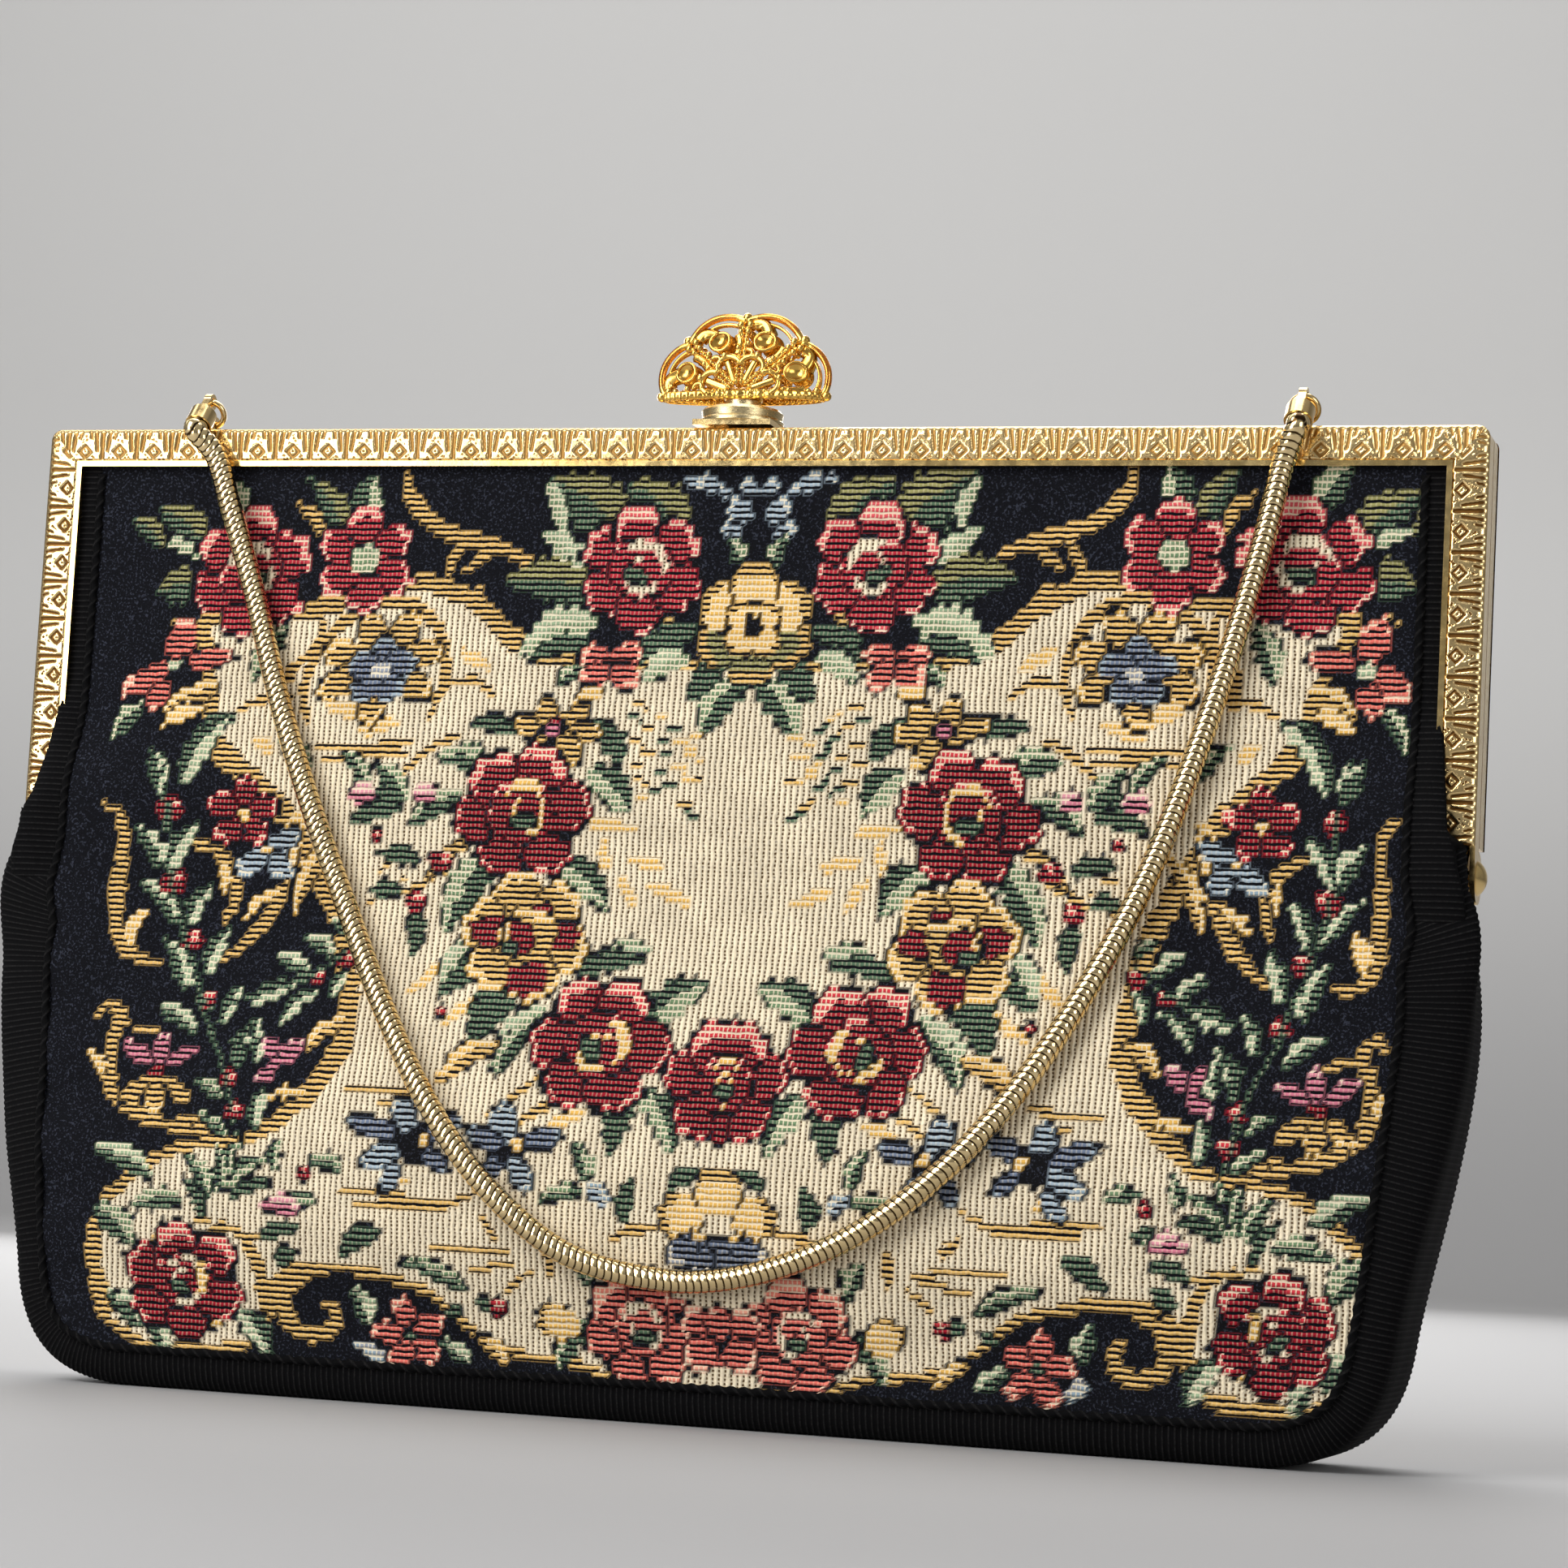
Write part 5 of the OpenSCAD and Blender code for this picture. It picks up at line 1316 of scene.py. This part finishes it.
def fan_sector(start, stop, side):
    """One sector of the fan: scalloped rim, hooked band, cup, inner arch and beads."""
    reach = FAN_REACH
    t = np.linspace(0, 1, 25)
    angle = start + (stop - start) * t
    wide = stop - start
    middle = (start + stop) / 2
    patches = [
        fan_wire(reach - 0.6 + 1.5 * np.sin(np.pi * t) ** 0.8, angle, side, 0.6),
        fan_wire(reach - 2.2 + 1.7 * np.sin(np.pi * t) ** 0.8, angle, side, 0.3, 0.1),
        fan_wire(5.0 + 1.9 * np.sin(np.pi * t) ** 0.6, angle, side, 0.55, 0.15)]
    # Cup: a ring wall with a dished floor
    ring = np.linspace(0, 2 * np.pi, 25)
    cup_r, share = 9.9, np.linspace(0.02, 1.95, 8)
    profile = np.where(share < 1.62, 0.1 + 0.8 * (share / 1.62) ** 2, 0.95 - 2.4 * (share - 1.62))
    rr = cup_r + share[None] * np.cos(ring)[:, None]
    aa = middle + share[None] * np.sin(ring)[:, None] / cup_r
    dish = grid(fan_point(rr, aa, profile[None], side))
    patches.append(dish if side > 0 else flipped(dish))
    patches.append(fan_wire(
        cup_r + 1.68 * np.cos(ring), middle + 1.68 * np.sin(ring) / cup_r, side, 0.28, 0.92, 6))
    # Hooked band from the rim to the cup, and a curl on the inner arch
    u = np.linspace(0, 1, 18)
    hook = middle + wide * (0.36 - 0.30 * u)
    hook_r = 12.2 + 1.1 * np.sin(2.6 * u + 0.3) - 1.2 * u
    strut = middle - wide * (0.37 + 0.05 * np.sin(3 * u))
    upright = np.full(18, middle + 1e-4)
    patches.append(fan_wire(hook_r, hook, side, 0.34 + 0.1 * u, -0.1, 8, 0.75))
    patches.append(fan_wire(10.6 - 3.6 * u, strut, side, 0.34, 0.05, 8, 0.4))
    patches.append(fan_wire(1.8 + 4.4 * u, upright, side, 0.3, -0.1, 8, 0.35))
    turn = 2.4 + 4.4 * u
    patches.append(fan_wire(
        7.1 + 0.75 * np.cos(turn), middle + 0.30 * wide + 0.75 * np.sin(turn) / 7.1, side, 0.4, 0.3))
    patches.append(fan_wire(6.9 + 1.3 * u, upright, side, 0.36, 0.1))
    for r, place, radius in (
            (12.5, 0.42, 0.7), (12.5, -0.42, 0.7), (11.2, 0.43, 0.6), (7.2, 0.0, 0.7), (9.0, 0.36, 0.55),
            (11.2, -0.43, 0.55), (8.2, -0.4, 0.5)):
        patches += bead(fan_point(np.array(r), np.array(middle + place * wide), 0.25, side), radius)
    return patches


def make_fan():
    """Fan-shaped filigree clasp: two puffed faces of wire, cups and beads that meet at the rim."""
    reach, count = FAN_REACH, 4
    patches = []
    for side in (-1, 1):
        for k in range(count):
            patches += fan_sector(np.pi * k / count, np.pi * (k + 1) / count, side)
        for k in range(count + 1):
            angle = np.pi * k / count
            r = np.linspace(1.6, reach, 96)
            for beside in (-0.42, 0.42):
                patches.append(fan_wire(r, angle + beside / r, side, 0.38 + 0.1 * np.cos(5.8 * r), 0.05))
    for k in range(count + 1):
        patches += bead(fan_point(np.array(reach + 0.1), np.array(np.pi * k / count), 0, 1), 0.85)
    # Fluted band that closes the fan's foot
    base = fan_point(np.array(0.0), np.array(0.0), 0, 1) * np.array([1, 0, 1])
    base[1] = (COLLAR_LOW[1] + COLLAR_HIGH[1]) / 2
    s = np.linspace(0, 2 * np.pi, 361)
    flute = 0.14 * np.cos(48 * s)
    wall = np.array([[-0.9, -0.15], [-0.8, 0.12], [0.5, 0.12], [0.6, -0.15], [0.5, -0.42], [-0.8, -0.42]])
    out = wall[None, :, 1] + flute[:, None] * (wall[None, :, 1] > 0)
    band = np.stack([
        np.cos(s)[:, None] * (reach - 0.3 + out), np.sin(s)[:, None] * (3.2 + out),
        np.broadcast_to(wall[None, :, 0], out.shape)], axis=-1) + base
    patches.append(grid(band[:-1], close_u=True, close_v=True))
    # Round foot on the collar
    t = np.linspace(0, 2 * np.pi, 41)
    profile = np.array([[0.01, 1.2], [2.2, 1.1], [3.2, 0.6], [3.4, -0.1], [3.0, -0.85], [0.01, -0.85]])
    foot = np.stack([
        np.cos(t)[:, None] * profile[None, :, 0], np.sin(t)[:, None] * profile[None, :, 0],
        np.repeat(profile[None, :, 1], 41, 0)], axis=-1) + base
    patches.append(flipped(grid(foot)))
    gold = gold_material("filigree_gold", tuple(colours().pale_gold), 0.2)
    piece = build("fan_filigree", patches, gold)
    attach(piece, CLASP)
    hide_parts("fan_ornament")


def make_clasp():
    """Collar, lever, pin, springs and lugs of the clasp."""
    brushed = gold_material("brushed_pale_gold", srgb(226, 206, 160), 0.26, 0.00004)
    show_nodes(brushed, "clasp_collar")
    plain = gold_material("plain_gold", tuple(colours().gold), 0.2)
    show_nodes(plain, "clasp_lever", "clasp_lugs", "clasp_pin", "clasp_springs")


# Chain

# Share of the half span and height of each point of the hanging chain, left to right
HANG = [
    (-0.965, 152), (-0.93, 144), (-0.87, 129), (-0.80, 111), (-0.72, 94), (-0.63, 77), (-0.53, 61),
    (-0.42, 46.5), (-0.30, 34.5), (-0.16, 25.5), (0, 22.3), (0.14, 23.2), (0.28, 27.5), (0.40, 34),
    (0.51, 43), (0.61, 55), (0.70, 70), (0.78, 86), (0.845, 103), (0.90, 121), (0.95, 139), (0.975, 150)]


def chain_route():
    """The chain's centre line: out of one folded end, down over the cloth, and up into the other end."""
    chain_r = sizes().chain_diameter / MM / 2
    ring, lean, tilt = 4.2, np.radians(30), np.radians(50)
    span = (LUG_LOW[0] + LUG_HIGH[0]) / 2
    lug_y = (LUG_LOW[1] + LUG_HIGH[1]) / 2
    eye = np.array([0, lug_y - ring * np.sin(lean), BAG_H + 1.1 + ring * np.cos(lean)])
    lead = np.array([0, -np.cos(tilt), -np.sin(tilt)])
    straight = eye + lead * np.array([[4.0], [6.4], [7.6]])
    hang = np.array(HANG) * (span, 1)
    x, z = hang.T
    rim = (JAW_D + RIM_H + chain_r + 0.5) * ramp(HINGE_Z, BAG_H - 25, z)
    y = -np.maximum(depth(x, z) + chain_r + 0.5, rim)
    side = np.array([span, 0, 0])
    return np.vstack([straight - side, np.stack([x, y, z], axis=1), straight[::-1] + side])


def make_chain():
    """Snake chain: a round section whose links overlap in a wave, carried along the hanging route."""
    size = sizes()
    radius, pitch = size.chain_diameter / MM / 2, size.link_pitch / MM
    route = smooth_path(chain_route(), 24)
    run = lengths_along(route)
    total = run[-1]
    count = int(total / pitch) * 8
    s = np.linspace(0, total, count)
    points = np.stack([np.interp(s, run, route[:, k]) for k in range(3)], axis=1)
    sides = 28
    angle = np.linspace(0, 2 * np.pi, sides, endpoint=False)
    share = np.mod(s[:, None] / pitch + 0.30 * np.sin(2 * angle[None] + 0.9), 1.0)
    groove = np.exp(-((np.minimum(share, 1 - share)) / 0.125) ** 2)
    skin = radius * (1 - 0.09 * (1 - np.sqrt(np.sin(np.pi * share))))
    patch = tube(points, skin, sides, caps=False)
    patch = Patch(patch.points, patch.quads, {"relief": (1 - groove).reshape(-1, 1)})
    piece = build("snake_chain", [patch], chain_material())
    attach(piece, FRONT)
    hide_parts("chain")
    gold = gold_material("chain_fitting_gold", tuple(colours().gold), 0.18)
    for part in ("lug", "ring", "end"):
        show_nodes(gold, f"chain_{part}_left", f"chain_{part}_right")


# Stage

PHOTO_PIXELS = 1932
FOCAL_PIXELS = 5000
CAMERA = dict(azimuth=17.3, elevation=-5.71, roll=3.14, distance=643, target=(10.2, 0, 100.8))


def make_stage():
    """Pale floor that sweeps up to a backdrop, darkened at the bottom by painted shade, soft studio lights
    and the camera.
    """
    n = Nodes("studio_floor")
    # Painted shade: grey at the floor, turning to the pale floor colour half a metre up the sweep
    level = n.span(n.height(), 0.0, 0.5)
    n.look(Base_Color=n.mix(level, srgb(158, 157, 157), tuple(colours().floor)))
    n.look(Roughness=0.85, Specular_IOR_Level=0.2)
    sweep = np.linspace(0, 0.5 * np.pi, 24)
    back, radius, wide = 1500, 600, 4000
    y = np.concatenate([[-3000], back + radius * np.sin(sweep), [back + radius]])
    z = np.concatenate([[0], radius * (1 - np.cos(sweep)), [4000]]) - 0.05
    x = np.array([-wide, wide])
    points = np.stack([
        np.repeat(x[:, None], len(y), 1), np.repeat(y[None], 2, 0), np.repeat(z[None], 2, 0)], axis=-1)
    floor = build("studio_sweep", [grid(points)], n.material)
    world = bpy.data.worlds.new("studio_world")
    bpy.context.scene.world = world
    world.use_nodes = True
    tree = world.node_tree
    background = tree.nodes["Background"]
    coordinates = tree.nodes.new("ShaderNodeTexCoord")
    split = tree.nodes.new("ShaderNodeSeparateXYZ")
    ramp_node = tree.nodes.new("ShaderNodeValToRGB")
    tree.links.new(coordinates.outputs["Generated"], split.inputs[0])
    tree.links.new(split.outputs[2], ramp_node.inputs[0])
    tree.links.new(ramp_node.outputs[0], background.inputs[0])
    stops = ramp_node.color_ramp.elements
    stops[0].position, stops[0].color = 0.0, (0.5, 0.5, 0.52, 1)
    stops[1].position, stops[1].color = 0.8, (1.0, 1.0, 1.0, 1)
    background.inputs[1].default_value = 0.34
    place_lights()
    place_camera()
    bpy.context.scene.view_settings.view_transform = "Standard"


def place_lights():
    """Soft boxes: a large one at the front left, a low one for glints, a fill, one above and two behind."""
    for name, place, aim_at, side, power in (
            ("key_light", (-450, -800, 850), (0, 0, 90), 700, 10.5),
            ("glint_light", (-560, -760, 230), (0, 0, 120), 380, 3.2),
            ("fill_light", (900, -700, 350), (0, 0, 90), 500, 3),
            ("top_light", (0, 250, 1000), (0, 0, 90), 600, 4.5),
            ("rear_light", (-350, 900, 520), (0, 0, 90), 700, 7),
            ("backdrop_light", (-700, 500, 1500), (-900, 1900, 500), 1600, 20)):
        data = bpy.data.lights.new(name, "AREA")
        data.shape = "SQUARE"
        data.size = side * MM
        data.energy = power
        light = bpy.data.objects.new(name, data)
        bpy.context.scene.collection.objects.link(light)
        light.location = Vector(place) * MM
        aim = Vector(aim_at) * MM - light.location
        light.rotation_euler = aim.to_track_quat("-Z", "Y").to_euler()


def place_camera():
    """Camera at the photograph's angle, leaning a little to the right."""
    azimuth, elevation = np.radians(CAMERA["azimuth"]), np.radians(CAMERA["elevation"])
    back = np.array([
        np.sin(azimuth) * np.cos(elevation), -np.cos(azimuth) * np.cos(elevation), np.sin(elevation)])
    right = np.cross(-back, (0, 0, 1))
    right /= np.linalg.norm(right)
    up = np.cross(right, -back)
    roll = np.radians(CAMERA["roll"])
    right, up = right * np.cos(roll) + up * np.sin(roll), up * np.cos(roll) - right * np.sin(roll)
    data = bpy.data.cameras.new("photo_camera")
    data.sensor_fit = "HORIZONTAL"
    data.sensor_width = 36
    data.lens = 36 * FOCAL_PIXELS / PHOTO_PIXELS
    data.clip_start = 0.01
    data.clip_end = 20
    camera = bpy.data.objects.new("photo_camera", data)
    bpy.context.scene.collection.objects.link(camera)
    place = (np.array(CAMERA["target"]) + back * CAMERA["distance"]) * MM
    camera.matrix_world = Matrix((
        (right[0], up[0], back[0], place[0]), (right[1], up[1], back[1], place[1]),
        (right[2], up[2], back[2], place[2]), (0, 0, 0, 1)))
    bpy.context.scene.camera = camera


# Operators and panel


class BAG_OT_stage(bpy.types.Operator):
    """Set up the floor, the lights and the camera"""

    bl_idname = "bag.stage"
    bl_label = "Stage"
    bl_options = {"REGISTER", "UNDO"}

    def execute(self, context):
        """Runs the maker."""
        make_stage()
        return {"FINISHED"}


class BAG_OT_chain(bpy.types.Operator):
    """Hang the snake chain and finish its fittings"""

    bl_idname = "bag.chain"
    bl_label = "Chain"
    bl_options = {"REGISTER", "UNDO"}

    def execute(self, context):
        """Runs the maker."""
        make_chain()
        return {"FINISHED"}


class BAG_OT_front_tapestry(bpy.types.Operator):
    """Weave the front panel"""

    bl_idname = "bag.front_tapestry"
    bl_label = "Front tapestry"
    bl_options = {"REGISTER", "UNDO"}

    def execute(self, context):
        """Runs the maker."""
        make_front_tapestry()
        return {"FINISHED"}


class BAG_OT_back_tapestry(bpy.types.Operator):
    """Weave the back panel, which reaches across the hinge"""

    bl_idname = "bag.back_tapestry"
    bl_label = "Back tapestry"
    bl_options = {"REGISTER", "UNDO"}

    def execute(self, context):
        """Runs the maker."""
        make_back_tapestry()
        return {"FINISHED"}


class BAG_OT_ribbon(bpy.types.Operator):
    """Sew the ribbed ribbon round the bag"""

    bl_idname = "bag.ribbon"
    bl_label = "Ribbon"
    bl_options = {"REGISTER", "UNDO"}

    def execute(self, context):
        """Runs the maker."""
        make_ribbon()
        return {"FINISHED"}


class BAG_OT_seam_braid(bpy.types.Operator):
    """Lay the twisted cords over the seams"""

    bl_idname = "bag.seam_braid"
    bl_label = "Seam cords"
    bl_options = {"REGISTER", "UNDO"}

    def execute(self, context):
        """Runs the maker."""
        make_seam_braid()
        return {"FINISHED"}


class BAG_OT_lining(bpy.types.Operator):
    """Line the inside with satin"""

    bl_idname = "bag.lining"
    bl_label = "Lining"
    bl_options = {"REGISTER", "UNDO"}

    def execute(self, context):
        """Runs the maker."""
        make_lining()
        return {"FINISHED"}


class BAG_OT_jaws(bpy.types.Operator):
    """Emboss and polish the frame and its rivets"""

    bl_idname = "bag.jaws"
    bl_label = "Frame"
    bl_options = {"REGISTER", "UNDO"}

    def execute(self, context):
        """Runs the maker."""
        make_jaws()
        return {"FINISHED"}


class BAG_OT_clasp(bpy.types.Operator):
    """Finish the clasp's collar, lever and hinge"""

    bl_idname = "bag.clasp"
    bl_label = "Clasp"
    bl_options = {"REGISTER", "UNDO"}

    def execute(self, context):
        """Runs the maker."""
        make_clasp()
        return {"FINISHED"}


class BAG_OT_fan(bpy.types.Operator):
    """Make the filigree fan"""

    bl_idname = "bag.fan"
    bl_label = "Fan"
    bl_options = {"REGISTER", "UNDO"}

    def execute(self, context):
        """Runs the maker."""
        make_fan()
        return {"FINISHED"}


OPERATORS = (
    BAG_OT_stage, BAG_OT_chain, BAG_OT_front_tapestry, BAG_OT_back_tapestry, BAG_OT_ribbon,
    BAG_OT_seam_braid, BAG_OT_lining, BAG_OT_jaws, BAG_OT_clasp, BAG_OT_fan)


class BAG_PT_panel(bpy.types.Panel):
    """Lists the bag's sizes, colours and pieces"""

    bl_idname = "BAG_PT_panel"
    bl_label = "Tapestry bag"
    bl_space_type = "VIEW_3D"
    bl_region_type = "UI"
    bl_category = "Bag"

    def draw(self, context):
        """Draws the settings, then one button for each operator."""
        for group in (context.scene.bag_sizes, context.scene.bag_colours):
            box = self.layout.box()
            for name in group.__annotations__:
                box.prop(group, name)
        for operator in OPERATORS:
            self.layout.operator(operator.bl_idname)


CLASSES = (BagSizes, BagColours, *OPERATORS, BAG_PT_panel)


def register():
    """Adds the classes and the scene's settings."""
    for cls in CLASSES:
        bpy.utils.register_class(cls)
    bpy.types.Scene.bag_sizes = bpy.props.PointerProperty(type=BagSizes)
    bpy.types.Scene.bag_colours = bpy.props.PointerProperty(type=BagColours)


def unregister():
    """Takes them away again."""
    del bpy.types.Scene.bag_colours
    del bpy.types.Scene.bag_sizes
    for cls in reversed(CLASSES):
        bpy.utils.unregister_class(cls)


def main():
    """Makes every piece in order."""
    register()
    for operator in OPERATORS:
        group, name = operator.bl_idname.split(".")
        getattr(getattr(bpy.ops, group), name)()
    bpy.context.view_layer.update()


if __name__ == "__main__":
    main()
